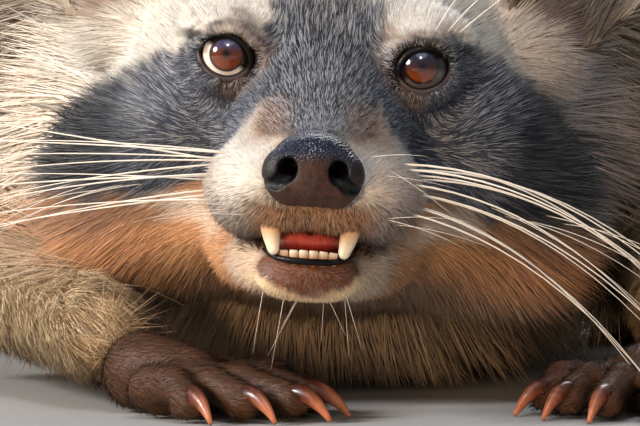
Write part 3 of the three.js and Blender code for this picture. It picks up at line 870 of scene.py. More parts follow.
TUFT_FACES = np.array([[0, 1, 3], [1, 2, 3], [2, 0, 3]])
TUFT_PATCH = 0.003  # how much of the unwrap's width a tuft takes
TUFT_UV = np.array([[0, 0], [1, 0], [0.5, 0.3], [0.5, 1]]) * TUFT_PATCH
TUFT_REACH = [1.2, 3, 6, 12, 24, 34]
TUFT_HALF = [0.13, 0.16, 0.18, 0.22, 0.3, 0.42]  # half a tuft's width at each of those lengths
OWN_SHADE = 0.45  # how much of a tuft's shading follows its own sides
ROOT_DEPTH, OFF_FLOOR = 0.3, 0.2
SAG = 0.01  # how far a long tuft's tip drops
LENGTHS, WIDTHS, LIFTS = (0.7, 1.25), (0.7, 1.3), (0.5, 1.5)  # least and most, as shares of the usual one
# Roots are painted darker and tips lighter, as shade deep in the coat and light at its surface.
ROOT_SHADE, TIP_LIGHT = 0.8, 1.12
DARK_TIPS, TIP_DARKER = 0.4, 0.6  # the share of the body's tufts with a dark tip, and how much darker it is
GATHERED = 8.0  # the size of the locks that tufts lean together in
HEAD_REACH = 190.0  # the head's unwrap reaches so far from the nose
TRUNK_AXIS, TRUNK_START, TRUNK_RUN = 60.0, -160.0, 560.0  # the trunk's goes round this height, from here

corner = skin_points[skin_faces]
diagonal = np.cross(corner[:, 2] - corner[:, 0], corner[:, 3] - corner[:, 1])
face_area = np.linalg.norm(diagonal, axis=1) / 2


def scatter(count, weight, rng):
    """Roots spread over the skin by area and weight, as faces of the skin and shares of their corners."""
    total = np.cumsum(face_area * weight)
    picks = (np.arange(count) + rng.random(count)) / count * total[-1]
    face = np.minimum(np.searchsorted(total, picks), len(total) - 1)
    s, t = rng.random(count), rng.random(count)
    shares = np.stack([(1 - s) * (1 - t), s * (1 - t), s * t, (1 - s) * t], 1)
    return face, shares


def at_roots(values, face, shares):
    picked = values[skin_faces[face]]
    return (picked * shares[..., None]).sum(1) if values.ndim > 1 else (picked * shares).sum(1)


def painted(piece, colours, level=1.0):
    """Give a piece's corners the colours that its finish starts from, and a level of their own as alpha."""
    attribute = piece.data.color_attributes.new("coat", "FLOAT_COLOR", "POINT")
    levels = np.broadcast_to(level, len(colours))[:, None]
    rgba = np.concatenate([np.clip(colours, 0, 1), levels], 1)
    attribute.data.foreach_set("color", rgba.astype(np.float32).ravel())


def coat_piece(name, count, weight, seed, unwrap, lift, width):
    """A joined mesh of many tufts. lift is how many degrees they stand off the skin."""
    rng = np.random.default_rng(seed)
    face, shares = scatter(count, weight, rng)
    root = at_roots(skin_points, face, shares)
    normal = unit(at_roots(skin_normals, face, shares))
    way = at_roots(flow, face, shares)
    reach = at_roots(length, face, shares) * rng.uniform(*LENGTHS, count)
    head = to_head(root)
    headed = at_roots(headness, face, shares)[:, None]
    half = np.interp(reach, TUFT_REACH, TUFT_HALF) * width
    half = (half * rng.uniform(*WIDTHS, count) * at_roots(fineness, face, shares))[:, None]
    reach = reach[:, None]

    gathered = np.stack([ripple(root, GATHERED, seed) for seed in (20, 21, 22)], 1)
    way = way + (0.2 - 0.08 * headed) * gathered + rng.normal(size=(count, 3)) * (0.1 - 0.03 * headed)
    way = unit(way - (way * normal).sum(1, keepdims=True) * normal)
    aside = np.cross(normal, way)
    rise = np.radians(lift * rng.uniform(*LIFTS, count))[:, None]
    base = root - normal * ROOT_DEPTH
    tip = root + reach * (way * np.cos(rise) + normal * np.sin(rise))
    tip[:, 2] -= reach[:, 0] ** 1.5 * SAG
    corners = np.stack([base - aside * half, base + aside * half, base + normal * half * 1.2, tip], 1)
    corners[..., 2] = np.maximum(corners[..., 2], OFF_FLOOR)
    faces = (np.arange(count)[:, None, None] * 4 + TUFT_FACES).reshape(-1, 3)
    piece = mesh_object(name, corners.reshape(-1, 3), faces)
    own = np.stack([-aside, aside, normal, normal], 1) * OWN_SHADE
    piece.data.normals_split_custom_set_from_vertices(unit(normal[:, None] + own).reshape(-1, 3))

    seen = to_head(root + way * reach * 0.45)
    hue = face_with_eyes(seen) * headed
    hue += body_colours(root, {n: at_roots(region[n], face, shares) for n in FLESH}) * (1 - headed)
    grey = hue.mean(1)
    mottle = np.exp(rng.normal(size=count) * np.interp(grey, [0.02, 0.2, 0.7], [0.25, 0.2, 0.14]))
    hue = hue * mottle[:, None]
    dark, pale, how_pale = odd_hairs(seen, headed[:, 0])
    draw = rng.random(count)
    body = 1 - headed
    darker = hue * (0.3 + 0.25 * body)
    paler = hue * (0.5 + 0.6 * body) + np.maximum(how_pale[:, None] * COOL_SHEEN, 0.4 * hue)
    hue = np.where((draw < dark)[:, None], darker, hue)
    hue = np.where((draw > 1 - pale)[:, None], paler, hue)
    dark_tip = body[:, 0] * (rng.random(count) < DARK_TIPS) * TIP_DARKER
    tones = [hue * ROOT_SHADE] * 3 + [hue * (TIP_LIGHT - dark_tip)[:, None]]
    painted(piece, np.stack(tones, 1).reshape(-1, 3))

    place = unwrap(root, head)
    uv = (place[:, None, :] * (1 - 2 * TUFT_PATCH) + TUFT_UV).reshape(-1, 2)
    layer = piece.data.uv_layers.new(name="OFBake")
    layer.data.foreach_set("uv", uv[faces.ravel()].astype(np.float32).ravel())
    piece.data.materials.append(hair_finish.material)
    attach(piece, "root")


def polar_unwrap(root, head):
    """Round the head by angle, and back from the nose by distance."""
    angle = np.arctan2(head[:, 0], -head[:, 2] + 3) / (2 * math.pi) + 0.5
    return np.stack([angle, np.clip(np.linalg.norm(head, axis=1) / HEAD_REACH, 0, 1)], 1)


def trunk_unwrap(root, head):
    """Round the trunk by angle, and along it."""
    angle = np.arctan2(root[:, 0], root[:, 2] - TRUNK_AXIS) / (2 * math.pi) + 0.5
    return np.stack([angle, np.clip((root[:, 1] - TRUNK_START) / TRUNK_RUN, 0, 1)], 1)


class Value:
    """A socket in a finish's node tree. Arithmetic on it adds Math nodes."""

    def __init__(self, finish, socket):
        self.finish, self.socket = finish, socket

    def maths(self, operation, first, second):
        return self.finish.node("ShaderNodeMath", {"operation": operation}, {0: first, 1: second})

    def __add__(self, other):
        return self.maths("ADD", self, other)

    def __sub__(self, other):
        return self.maths("SUBTRACT", self, other)

    def __rsub__(self, other):
        return self.maths("SUBTRACT", other, self)

    def __mul__(self, other):
        return self.maths("MULTIPLY", self, other)

    __radd__, __rmul__ = __add__, __mul__


class Finish:
    """A material that is put together from nodes, with the colours painted on its mesh to start from."""

    def __init__(self, name, **constants):
        self.material = bpy.data.materials.new(name)
        self.material.use_nodes = True
        self.tree = self.material.node_tree
        self.shader = self.tree.nodes["Principled BSDF"]
        for socket, value in constants.items():
            self.shader.inputs[socket.replace("_", " ")].default_value = value
        self.paint = self.node("ShaderNodeAttribute", {"attribute_name": "coat"}, output="Color")
        self.level = Value(self, self.paint.socket.node.outputs["Alpha"])
        self.place = self.node("ShaderNodeTexCoord", output="Object")

    def plug(self, socket, value):
        if isinstance(value, Value):
            self.tree.links.new(value.socket, socket)
        else:
            socket.default_value = value

    def node(self, kind, settings=None, sockets=None, output=0):
        """A node of a kind with its settings made first, and then the values or links of its sockets."""
        made = self.tree.nodes.new(kind)
        for name, value in (settings or {}).items():
            setattr(made, name, value)
        for name, value in (sockets or {}).items():
            self.plug(made.inputs[name], value)
        return Value(self, made.outputs[output])

    def noise(self, per_metre, detail=2.0):
        sockets = {"Vector": self.place, "Scale": per_metre, "Detail": detail}
        return self.node("ShaderNodeTexNoise", sockets=sockets)

    def colour(self, level):
        """The painted colours, made lighter or darker by a level that varies over the surface."""
        scaled = self.node("ShaderNodeVectorMath", {"operation": "SCALE"}, {0: self.paint, "Scale": level})
        self.plug(self.shader.inputs["Base Color"], scaled)

    def rough(self, level):
        """A roughness that varies over the surface."""
        self.plug(self.shader.inputs["Roughness"], level)

    def relief(self, height, strength, depth):
        """A bump up to a depth in metres."""
        sockets = {"Height": height, "Strength": strength, "Distance": depth}
        self.plug(self.shader.inputs["Normal"], self.node("ShaderNodeBump", sockets=sockets))

    def grained(self, per_metre, tone, rough=None, depth=0.0):
        """Colour, roughness and relief of one grain. A pair is the least value and what the grain adds."""
        grain = self.noise(per_metre)
        self.colour(tone[0] + tone[1] * grain)
        if rough:
            self.rough(rough[0] + rough[1] * grain)
        if depth:
            self.relief(grain, 0.5, depth)


HAIR_GRAIN = 900  # to the metre
hair_finish = Finish("coat", Roughness=0.5, Specular_IOR_Level=0.35)
hair_finish.grained(HAIR_GRAIN, (0.75, 0.5))

face_middle = skin_points[skin_faces].mean(1)
face_head = to_head(face_middle)
face_length = length[skin_faces].mean(1)
on_face = headness[skin_faces].mean(1) > 0.5
on_ear = ear_share[skin_faces].mean(1) > 0.5
on_tail = sum(region[n] for n in TAIL)[skin_faces].mean(1) > 0.5
on_limb = sum(region[n] for n in FLESH if n.startswith(("forearm", "shank")))[skin_faces].mean(1) > 0.5
on_paw = sum(region[paw] for paw in PAWS)[skin_faces].mean(1) > 0.5
on_trunk = ~(on_face | on_ear | on_tail | on_limb | on_paw)
under_nose = (((face_head - [0, NOSE_DEPTH, 0]) / [10.4, 9.5, 8.2]) ** 2).sum(1) < 1.0
in_mouth = (((face_head - [0, 22, -17.0]) / [12.2, 23, 2.3]) ** 2).sum(1) < 1.0
in_socket = near_eye(face_head) < 0.7
on_floor = face_middle[:, 2] < 1.2
haired = ~(under_nose | in_mouth | in_socket | on_floor)
# Each tuft has this much skin to itself, in square millimetres, by its length.
room = np.interp(face_length, [1.2, 2, 3, 6, 12, 24, 34], [0.35, 0.6, 0.9, 2.2, 5, 9, 12])
crowd = haired / room / fineness[skin_faces].mean(1) ** 1.8
short = face_length < 5.5
head_side = {side: np.sign(face_head[:, 0]) == sign for side, sign in SIDES.items()}
body_side = {side: np.sign(face_middle[:, 0]) == sign for side, sign in SIDES.items()}

# For each coat: the tufts on a side, where it grows, its sides, its slot, its unwrap, and the tufts' lift
# and width.
COAT = {
    "coat_muzzle": (64000, on_face & short & ~on_ear, head_side, "face_coat", polar_unwrap, 20, 1.0),
    "coat_cheek": (54000, on_face & ~short & ~on_ear, head_side, "face_coat", polar_unwrap, 13, 0.8),
    "coat_ear": (12000, on_ear, head_side, "face_coat", polar_unwrap, 18, 0.8),
    "coat_trunk": (54000, on_trunk, body_side, "body_coat", trunk_unwrap, 16, 0.8),
    "coat_leg": (28000, on_limb, body_side, "leg_coat", trunk_unwrap, 13, 0.8),
    "coat_paw": (16000, on_paw, body_side, "paw_coat", trunk_unwrap, 16, 1.2),
}
COAT_SEED, TAIL_SEED = 30, 81
for i, (name, (count, where, halves, slot, unwrap, lift, width)) in enumerate(COAT.items()):
    for side, sign in SIDES.items():
        weight = crowd * where * halves[side]
        coat_piece(f"{name}_{side}", count, weight, COAT_SEED + 2 * i + sign, unwrap, lift, width)
coat_piece("coat_tail", 30000, crowd * on_tail, TAIL_SEED, trunk_unwrap, 16, 0.8)

# ------------------------------------------------------------------ the skin's finish
# Short dense fur shows between the tufts, with their markings but a little darker, as painted shade deep in
# the coat, and rougher than they are. The skin that it grows on stands for all of the frame's solids of
# flesh.

short_fur = Finish("short_fur", Roughness=0.7, Specular_IOR_Level=0.3)
short_fur.grained(HAIR_GRAIN, (0.75, 0.5), depth=0.0003)
painted(skin, markings * 0.9)
skin.data.materials.append(short_fur.material)
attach(skin, "root")
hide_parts(*FLESH)

# ------------------------------------------------------------------ eyes
# Each eye is a wet ball in its socket, with a bulge at the front. It has a small dark pupil, a red-brown
# iris, a dark edge round that and a little white beside it. A sky reflection and the lids' shadow are
# painted on it.

GAZE = {"right": unit(np.array([-0.05, -1, 0.08])), "left": unit(np.array([0.04, -1, 0.09]))}
PUPIL, IRIS, WHITE_FROM, CORNEA = 4.5, 29.0, 31.0, 38.0  # degrees from the middle of the gaze
BULGE = 0.9  # how far the cornea stands out of the ball
# Less white shows on the left eye, as painted shade.
EYE_WHITE_AND_SHADE = {"right": 1.0, "left": 0.1}  # how much white shows
LID_SHADE = {"right": 0.15, "left": 0.8}
EYE_RINGS, EYE_SIDES = 91, 96


def lathe_faces(rings, sides, looped=False):
    """Quads between rings of corners stored in turn. A loop's ends are joined, and others are capped."""
    i, j = np.meshgrid(np.arange(rings - 1 + looped), np.arange(sides), indexing="ij")
    after, onward = (j + 1) % sides, (i + 1) % rings
    walls = [i * sides + j, i * sides + after, onward * sides + after, onward * sides + j]
    walls = np.stack(walls, -1).reshape(-1, 4)
    if looped:
        return walls
    k = np.arange(sides // 2 - 1)
    cap = np.stack([k, sides - 1 - k, sides - 2 - k, k + 1], 1)
    return np.concatenate([walls, cap, cap[:, ::-1] + (rings - 1) * sides])


def outward(points, faces):
    """The same faces, turned to face out of their closed shape."""
    a, b, c, d = (points[faces[:, i]] for i in range(4))
    volume = (np.cross(c - a, d - b) * ((a + c) / 2 - points.mean(0))).sum()
    return faces if volume > 0 else faces[:, ::-1]


def mixed(a, b, amount):
    amount = np.asarray(amount)[:, None]
    return a * (1 - amount) + b * amount


def finished(name, points, faces, colours, finish, slot, *nodes, level=1.0):
    """A painted piece from points in the head's frame. It stands for the frame nodes that are named."""
    piece = mesh_object(name, from_head(points), faces)
    painted(piece, colours, level)
    piece.data.materials.append(finish.material)
    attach(piece, "root")
    if nodes:
        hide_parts(*nodes)


def eye(side, sign):
    angle = np.radians(np.linspace(0.05, 179.9, EYE_RINGS))
    turn = around(EYE_SIDES)
    degrees = np.degrees(angle)
    radius = EYE_RADIUS + BULGE * np.clip(1 - (degrees / CORNEA) ** 2, 0, 1) ** 1.5
    gaze = GAZE[side]
    across = unit(np.cross(gaze, [0, 0, 1]))
    up = np.cross(across, gaze)
    ring = np.cos(turn)[:, None] * across + np.sin(turn)[:, None] * up
    ways = np.cos(angle)[:, None, None] * gaze + np.sin(angle)[:, None, None] * ring[None]
    points = (radius[:, None, None] * ways).reshape(-1, 3)
    degrees = np.repeat(degrees, EYE_SIDES)
    turns = np.tile(turn, EYE_RINGS)
    streak = sum(np.sin(turns * k + k * k) for k in (9, 14, 23, 31)) / 4
    height = points[:, 2] / EYE_RADIUS
    # The iris is painted lighter low down and darker at the top, as light through the cornea and the lid's
    # shadow.
    iris = mixed(srgb("2a1008"), srgb("7c3a16"), np.clip(0.6 + 0.12 * streak - 1.0 * height, 0, 1))
    # A blue tint high on the iris is a painted reflection of the sky.
    sky = ramp(height, 0.12, 0.34) * (1 - ramp(degrees, IRIS - 6, IRIS))
    iris = mixed(iris, srgb("3d3f63"), sky * 0.75)
    iris = mixed(iris, srgb("1d0a06"), 0.6 * (1 - ramp(degrees, PUPIL, PUPIL + 8)))
    iris = mixed(iris, srgb("050303"), 1 - ramp(degrees, PUPIL - 1.5, PUPIL + 1.5))
    colours = mixed(iris, srgb("0d0807"), ramp(degrees, IRIS - 5, IRIS))
    colours = mixed(colours, srgb("1c120e"), ramp(degrees, WHITE_FROM - 1, WHITE_FROM + 1))
    corner = np.sin(turns) * -0.82 + np.cos(turns) * across[0] * sign * 0.57
    white = band(degrees, WHITE_FROM, WHITE_FROM + 16, 1.5) * ramp(corner, -0.05, 0.3)
    colours = mixed(colours, srgb("e6e0da"), white * EYE_WHITE_AND_SHADE[side])
    # The top of each eyeball is painted darker as the lid's shadow, much more on the left.
    colours = mixed(colours, srgb("10121d"), ramp(height, -0.3, 0.2) * LID_SHADE[side])
    points = EYE_AT * [sign, 1, 1] + points
    faces = outward(points, lathe_faces(EYE_RINGS, EYE_SIDES))
    finished(f"eyeball_{side}", points, faces, colours, wet_eye, "eye", f"eye_{side}")


wet_eye = Finish("wet_eye", Coat_Weight=1.0, Coat_Roughness=0.02, Specular_IOR_Level=0.5)
wet_eye.colour(0.85 + 0.3 * wet_eye.noise(1400))
wet_eye.rough(0.1 + 0.12 * wet_eye.noise(700))
for side, sign in SIDES.items():
    eye(side, sign)

# ------------------------------------------------------------------ eyelids
# Folds of black skin lie on each eyeball round a tilted almond opening. The upper lid has a crease over it,
# and the fur hides where the folds meet the face.

# Each row of corners: how far outside the opening it is, and how far from the eye's middle.
LID_ROWS = [(-0.3, 7.5), (0, 7.95), (0.2, 8.4), (0.5, 8.65), (0.8, 8.7), (1.2, 8.5), (1.6, 8), (2, 7.4)]
LID_SIDES = 96
OUT_CURVE, UP_CURVE = 0.92, 1.25  # these make an almond of the opening


def bowed(wave, reach, other_reach, curve):
    """A wave between -1 and 1, stretched to reach so far on one side and so far on the other."""
    return np.where(wave > 0, reach, other_reach) * np.sign(wave) * np.abs(wave) ** curve


def lid(side, sign):
    facing = unit(np.array([sign * 0.1, -1, 0.02]))
    aside = unit(np.array([sign, 0, 0]) - facing * (facing[0] * sign))
    upward = np.cross(facing, aside) * sign
    t = around(LID_SIDES)
    u = bowed(np.cos(t), OPENING["out"], OPENING["in"], OUT_CURVE)
    v = bowed(np.sin(t), OPENING["up"], OPENING["down"], UP_CURVE)
    c, s = math.cos(TILT), math.sin(TILT)
    u, v = u * c - v * s, u * s + v * c
    away = np.stack([u, v], 1) / np.hypot(u, v)[:, None]
    rows, colours = [], []
    for d, radius in LID_ROWS:
        p = np.stack([u, v], 1) + away * d
        crease = 0.3 * np.exp(-(((d - 1.8) / 0.6) ** 2)) * np.clip(np.sin(t) * 1.6 - 0.3, 0, 1)
        wrinkle = 0.12 * np.sin(d * 5.0 + 3 * np.sin(t * 2)) * min(d / 1.5, 1) if d > 0.5 else 0.0
        r = radius + crease + wrinkle
        flat = np.minimum(np.hypot(p[:, 0], p[:, 1]) / r, 0.995)
        across = (p[:, :1] * aside + p[:, 1:] * upward) / r[:, None]
        rows.append(r[:, None] * (np.sqrt(1 - flat**2)[:, None] * facing + across))
        lower = ramp(-np.sin(t), 0.1, 0.5) * ramp(d, 0.1, 0.7)
        colours.append(mixed(srgb("100d0c"), srgb("5c5152"), lower))
    points = EYE_AT * [sign, 1, 1] + np.concatenate(rows)
    faces = outward(points, lathe_faces(len(rows), LID_SIDES, looped=True))
    finished(f"eyelid_{side}", points, faces, np.concatenate(colours), lid_skin, "nose_skin")


lid_skin = Finish("eyelid_skin", Coat_Weight=0.05, Specular_IOR_Level=0.25)
lid_skin.grained(1800, (0.7, 0.6), rough=(0.3, 0.25), depth=0.0002)
for side, sign in SIDES.items():
    lid(side, sign)

# ------------------------------------------------------------------ nose pad
# A pad of bare black leather fills the hollow at the muzzle's end. It has a pebbled top, two nostrils shaped
# like commas and a faint groove down the front.


def head_field(low, high, step):
    return Field(*[np.arange(a, b, step) for a, b in zip(low, high)])


def nose_pad():
    field = head_field([-13, -2, -10.5], [13, 17, 10.5], 0.35)
    field.add(Ball([0, 9.4, 0.6], [9.6, 8.6, 7.9]), 1)
    field.add(Ball([0, 4.9, 3.0], [7.2, 4.3, 4.6]), 2.5)
    field.add(Ball([0, 4.8, -2.6], [5.4, 4.4, 5.4]), 2.5)
    for c in both(6.9, 5.8, -1.0):
        field.add(Ball(c, [4.4, 5.0, 5.2]), 1.4)
    for c in both(5.0, 6.4, -4.4):
        field.add(Ball(c, [3.6, 4.2, 3.8]), 2.5)
    slits = []
    for side in SIDES.values():
        m = np.array([side, 1, 1])
        slits.append(Ball(m * [5.5, 1.4, -0.4], [2.1, 2.8, 2.7]))
        slits.append(Bar(m * [5.5, 2.0, 0.0], m * [4.4, 8.0, 0.8], 2.0, 1.3))
        slits.append(Bar(m * [6.2, 1.2, -1.8], m * [7.9, 1.8, -3.6], 1.7, 1.4))
        slits.append(Bar(m * [7.9, 1.8, -3.6], m * [10.0, 4.0, -3.8], 1.4, 0.9))
        slits.append(Bar(m * [10.0, 4.0, -3.8], m * [11.6, 7.2, -2.6], 0.9, 0.5))
    for shape in slits:
        field.carve(shape, 0.6)
    field.carve(Bar([0, 0.0, -8.6], [0, 0.1, -1.5], 0.34, 0.12), 0.5)
    points, quads = field.polygons()
    points = relaxed(points, quads, 2)
    x, a, z = points.T
    top = ramp(z, 0.5, 4.5)
    # The top is tinted blue as a painted reflection of the sky; the lower front is brown leather.
    colours = mixed(srgb("1b110d"), srgb("1e2238"), top)
    front = (1 - ramp(np.abs(x) + 0.8 * np.minimum(z + 3, 3), 3.5, 8)) * (1 - top) * (1 - ramp(a, 4, 9))
    colours = mixed(colours, srgb("42281b"), front * 0.9)
    # The nostrils are painted near-black inside, as their shade.
    inside = np.zeros(len(points))
    for shape in slits:
        inside = np.maximum(inside, 1 - ramp(shape.distance(points.T), 0.0, 0.5))
    colours = mixed(colours, srgb("060405"), inside)
    colours = colours * (1 + 0.25 * ripple(points, 2.2, 77))[:, None]
    pebbled = np.maximum(top, ramp(a, 2.5, 6)) * (1 - inside) * 0.85 + 0.15
    finished("nose_leather", points, quads, colours, leather, "nose_skin", "nose_pad", level=pebbled)


leather = Finish("nose_leather", Specular_IOR_Level=0.5)
pebble_sockets = {"Vector": leather.place, "Scale": 1700, "Randomness": 0.85}
pebbles = leather.node("ShaderNodeTexVoronoi", sockets=pebble_sockets, output="Distance")
leather.colour(1.25 - 0.7 * pebbles)
leather.rough(0.24 + 0.16 * leather.noise(500) + 0.3 * (1 - leather.level))
leather.relief((1 - pebbles) * leather.level, 0.9, 0.0006)
nose_pad()

# ------------------------------------------------------------------ mouth
# The mouth is a little open. It shows the upper canines, small lower teeth in their gum, the tongue behind
# them and the black edge of the lower lip.


def tube(path, radii, sides=12, flat=1.0):
    """The corners and faces of a closed tube swept along a path, round or flattened."""
    path, radii = np.asarray(path, float), np.asarray(radii, float)
    way = unit(np.gradient(path, axis=0))
    across = unit(np.cross(way, [0.02, 0.03, 1.0]))
    up = np.cross(across, way)
    turn = around(sides)
    ring = np.cos(turn)[None, :, None] * across[:, None] + flat * np.sin(turn)[None, :, None] * up[:, None]
    points = (path[:, None] + radii[:, None, None] * ring).reshape(-1, 3)
    return points, outward(points, lathe_faces(len(path), sides))


def joined(parts):
    """Several sets of corners and faces as one."""
    points, faces = zip(*parts)
    offsets = np.cumsum([0] + [len(p) for p in points])
    return np.concatenate(points), np.concatenate([f + o for f, o in zip(faces, offsets)])


def canine(side, sign):
    t = np.linspace(0, 1, 14)
    path = np.stack([sign * (9.2 - 1.7 * t**1.3), 16.4 - 2.8 * t, -10.0 - 9.3 * t], 1)
    radii = 2.45 * (1 - 0.62 * t**1.6)
    radii[-1] *= 0.55
    points, faces = tube(path, radii, sides=16, flat=1.2)
    down = ramp(-points[:, 2], 13, 18.5)
    colours = mixed(srgb("cf9f72"), srgb("f2e4cb"), down)
    finished(f"tooth_canine_{side}", points, faces, colours, enamel, "ivory", f"canine_{side}")


enamel = Finish("tooth", Coat_Weight=0.4, Coat_Roughness=0.05, Subsurface_Weight=0.1)
enamel.colour(0.88 + 0.24 * enamel.noise(700))
enamel.rough(0.2 + 0.15 * enamel.noise(1200))
for side, sign in SIDES.items():
    canine(side, sign)

TEETH, TOOTH_APART = 6, 2.08
teeth = []
for i in range(TEETH):
    off_middle = i - (TEETH - 1) / 2
    x = off_middle * TOOTH_APART
    t = np.linspace(0, 1, 9)
    lean = 0.1 * off_middle
    path = np.stack([x + lean * t, 13.2 + 0.05 * x * x - 0.5 * t, -21.4 + 3.5 * t - 0.01 * x * x], 1)
    radii = np.interp(t, [0, 0.4, 0.9, 1], [1.0, 1.1, 1.1, 0.9])
    teeth.append(tube(path, radii, flat=0.6))
points, faces = joined(teeth)
colours = mixed(srgb("b98b66"), srgb("e6d2bb"), ramp(points[:, 2], -20, -18))
finished("lower_teeth", points, faces, colours, enamel, "ivory")

t = np.linspace(-1, 1, 41)
gum_path = np.stack([8.0 * t, 14.6 + 6.0 * t**2, -20.4 + 0.6 * t**2], 1)
gum_points, gum_faces = tube(gum_path, 1.5 - 0.7 * t**4)
wet_flesh = Finish("wet_flesh", Coat_Weight=0.45, Coat_Roughness=0.08, Subsurface_Weight=0.12)
wet_flesh.grained(1500, (0.75, 0.5), rough=(0.22, 0.25), depth=0.0004)
finished("gum", gum_points, gum_faces, np.tile(srgb("6e2f2c"), (len(gum_points), 1)), wet_flesh, "tongue")

lip_path = np.stack([10.2 * t, 11.6 + 6.5 * t**2, -20.35 + 1.9 * t**4], 1)
lip_points, lip_faces = tube(lip_path, 0.75 - 0.5 * t**4)
lip_colours = np.tile(srgb("0f0b0a"), (len(lip_points), 1))
finished("lip_edge", lip_points, lip_faces, lip_colours, lid_skin, "nose_skin")


def make_tongue():
    field = head_field([-11, 12, -24], [11, 50, -10], 0.6)
    field.add(Ball([0, 32, -16.6], [8.2, 15, 3.6]), 1)
    field.add(Ball([0, 23, -16.1], [7.4, 8, 2.7]), 2)
    field.carve(Bar([0, 14, -14.2], [0, 44, -14.0], 0.5, 0.5), 1.2)
    points, quads = field.polygons()
    points = relaxed(points, quads, 2)
    colours = mixed(srgb("8f2a25"), srgb("bb4f44"), ramp(points[:, 2], -18, -15))
    colours = colours * (1 + 0.15 * ripple(points, 1.5, 5))[:, None]
    finished("tongue_flesh", points, quads, colours, wet_flesh, "tongue", "tongue")


make_tongue()

# ------------------------------------------------------------------ claws
# Every finger ends in a claw of curved horn, dark at the root and amber towards a blunt tip. It is a little
# deeper than it is wide, and its root is inside the finger.

horn = Finish("claw_horn", Coat_Weight=0.2, Coat_Roughness=0.1)
horn.colour(0.8 + 0.4 * horn.noise(900, 4))
horn.rough(0.25 + 0.25 * horn.noise(600))
for paw in PAWS:
    parts, tones, nodes = [], [], []
    for i in range(1, 6):
        name = f"claw_{paw}_{i}"
        root, tip = claw_ends(name)
        root = root + (root - tip) * 0.2
        run = tip - root
        t = np.linspace(0, 1, 14)[:, None]
        arch = np.array([0, 0, 1.0]) * np.linalg.norm(run) * 0.16
        path = root + run * t + arch * 4 * t * (1 - t)
        radii = 2.2 * (1 - 0.8 * t[:, 0] ** 1.6)
        points, faces = tube(path, radii, flat=1.15)
        points[:, 2] = np.maximum(points[:, 2], 0.15)
        along = np.clip(((points - root) @ run) / (run @ run), 0, 1)
        grain = 0.12 * ripple(points, 2.0, 91)
        tones.append(mixed(srgb("3a170f"), srgb("b06a48"), ramp(along + grain, 0.1, 1.0)))
        parts.append((points, faces))
        nodes.append(name)
    points, faces = joined(parts)
    finished(f"claws_{paw}", to_head(points), faces, np.concatenate(tones), horn, "claw_horn", *nodes)

# ------------------------------------------------------------------ whiskers
# Stiff white hairs, rooted in rows on each side of the muzzle, with finer ones over the eyes, on the cheeks
# and under the chin.

WHISKER_SEED = 500
WHISKER_DROOP = {"right": -0.02, "left": -0.42}
LONGEST_WHISKER = {"right": 96, "left": 90}
skin_tree = BVHTree.FromPolygons(skin_points.tolist(), skin_faces.tolist())


def whisker(start, way, droop, size, thick):
    """A tapering hair from the skin nearest a place on the head. It leaves one way and bends another."""
    root = np.array(skin_tree.find_nearest(from_head(start))[0])
    t = np.linspace(0, 1, 15)[:, None]
    path = root + size * (t * (np.asarray(way) @ HEAD) + t**2 * (np.asarray(droop) @ HEAD))
    return tube(path, thick * (1 - 0.85 * t[:, 0]), sides=6)


def whiskers(side, sign):
    rng = np.random.default_rng(WHISKER_SEED + sign)
    hairs = []
    for row in range(4):
        for i in range(3):
            start = [sign * (19 + 3.2 * i), 26 + 6 * i, 3.5 - 3.6 * row + rng.normal() * 0.6]
            way = unit(np.array([sign, -0.1 + 0.2 * rng.random(), 0.06 - 0.07 * row + rng.normal() * 0.05]))
            droop = [-0.05 * sign, 0.22, WHISKER_DROOP[side] - 0.16 * rng.random()]
            size = rng.uniform(66, LONGEST_WHISKER[side])
            hairs.append(whisker(start, way, droop, size, rng.uniform(0.2, 0.29)))
    for i in range(6):
        start = [sign * rng.uniform(10, 15), rng.uniform(14, 22), rng.uniform(-8, 2)]
        way = unit(np.array([sign, -0.5, rng.normal() * 0.2]))
        hairs.append(whisker(start, way, [0, 0.2, -0.15], rng.uniform(14, 30), 0.1))
    for i in range(4):
        start = [sign * (22 + 3 * i), 54 + 2 * i, 33]
        way = unit(np.array([sign * (0.2 + 0.25 * i), -0.3, 1]))
        hairs.append(whisker(start, way, [sign * 0.25, 0.3, -0.1], rng.uniform(35, 55), 0.14))
    for i in range(5):
        start = [sign * (40 + 4 * i), 64 + 5 * i, -8 - 3 * rng.random()]
        way = unit(np.array([sign, -0.6, -0.25 + rng.normal() * 0.15]))
        hairs.append(whisker(start, way, [0, 0.3, -0.3], rng.uniform(40, 66), 0.14))
    for i in range(4):
        start = [sign * rng.uniform(1, 10), rng.uniform(14, 24), -26]
        way = unit(np.array([sign * rng.uniform(0, 0.6), -0.4, -1]))
        hairs.append(whisker(start, way, [0, 0.2, -0.05], rng.uniform(8, 18), 0.07))
    points, faces = joined(hairs)
    points[:, 2] = np.maximum(points[:, 2], 0.4)
    colours = np.tile(srgb("ece6dc"), (len(points), 1))
    finished(f"whiskers_{side}", to_head(points), faces, colours, whisker_hair, "face_coat")


whisker_hair = Finish("whisker", Specular_IOR_Level=0.5)
whisker_hair.grained(300, (0.85, 0.3), rough=(0.25, 0.2))
for side, sign in SIDES.items():
    whiskers(side, sign)

# ------------------------------------------------------------------ floor, light and camera
# The animal lies on a pale floor under soft lamps, the strongest of them on its right. A long lens looks at
# its nose from a little above.

FLOOR_HALF = 4000.0
FLOOR_TONE = [0.36, 0.35, 0.34]
WORLD_TONE, WORLD_STRENGTH = (0.8, 0.85, 0.9, 1), 0.2
LENS = 260
BACK_AWAY = 1000.0
CAMERA_RISE = 1.6  # degrees
OFF_NOSE = (0.0015, 0, -0.0093)  # from the nose to what the camera is aimed at, in metres

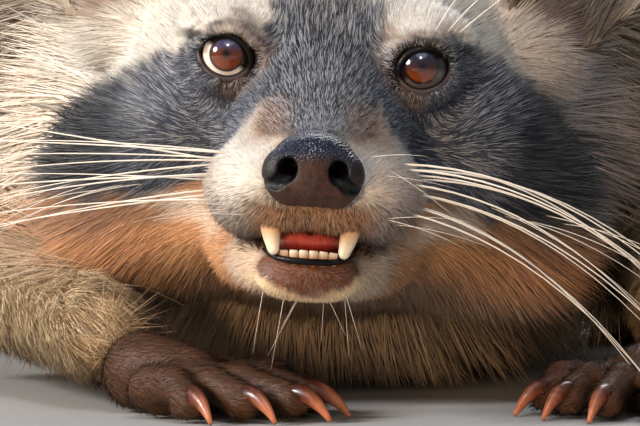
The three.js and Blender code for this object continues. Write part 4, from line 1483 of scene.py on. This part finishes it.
# For each light, in metres: where it is, where it is aimed and its size, then its power and colour.
LIGHTS = {
    "key": ((-1.85, -0.7, 0.98), (0, -0.15, 0.05), 0.6, 53, (1, 0.97, 0.94)),
    "catch": ((-0.02, -1.1, 1.45), (0, -0.3, 0.08), 0.3, 6, (1, 1, 1)),
    "fill": ((0.3, -3.4, 0.62), (0, -0.15, 0.05), 1.1, 18, (1, 0.86, 0.74)),
    "bounce": ((-1.1, -3.3, 0.27), (0, -0.2, 0.06), 0.4, 66, (1, 0.68, 0.4)),
    "sky": ((0.1, -0.6, 1.9), (0, -0.15, 0.05), 1.6, 9, (0.68, 0.82, 1)),
    "rim": ((0.3, 1.5, 1.3), (0, 0.1, 0.1), 1.0, 26, (1, 1, 1)),
}
UNREFLECTED = ("fill", "bounce")

scene = bpy.context.scene


def aimed(name, data, at, aim):
    """A light or camera at one place, turned to face another."""
    thing = bpy.data.objects.new(name, data)
    thing.location = at
    thing.rotation_euler = (Vector(aim) - Vector(at)).to_track_quat("-Z", "Y").to_euler()
    scene.collection.objects.link(thing)
    return thing


floor_corners = FLOOR_HALF * np.array([[-1, -1, 0], [1, -1, 0], [1, 1, 0], [-1, 1, 0]])
floor = mesh_object("floor", floor_corners, [[0, 1, 2, 3]])
painted(floor, np.tile(FLOOR_TONE, (4, 1)))
plain_floor = Finish("pale_floor", Roughness=0.9)
plain_floor.grained(3, (0.97, 0.06))
floor.data.materials.append(plain_floor.material)

for name, (at, aim, size, power, colour) in LIGHTS.items():
    light = bpy.data.lights.new(name, "AREA")
    light.shape, light.size, light.energy, light.color = "DISK", size, power, colour
    lamp = aimed(name, light, at, aim)
    lamp.visible_glossy = name not in UNREFLECTED

aim = Vector(NOSE_TIP * MM) + Vector(OFF_NOSE)
tilt = math.radians(CAMERA_RISE)
away = Vector((0, -math.cos(tilt), math.sin(tilt))) * BACK_AWAY * MM
scene.camera = aimed("camera", bpy.data.cameras.new("camera"), aim + away, aim)
scene.camera.data.lens = LENS

scene.world = bpy.data.worlds.new("studio")
scene.world.use_nodes = True
background = scene.world.node_tree.nodes["Background"]
background.inputs["Color"].default_value = WORLD_TONE
background.inputs["Strength"].default_value = WORLD_STRENGTH
scene.view_settings.view_transform = "Standard"
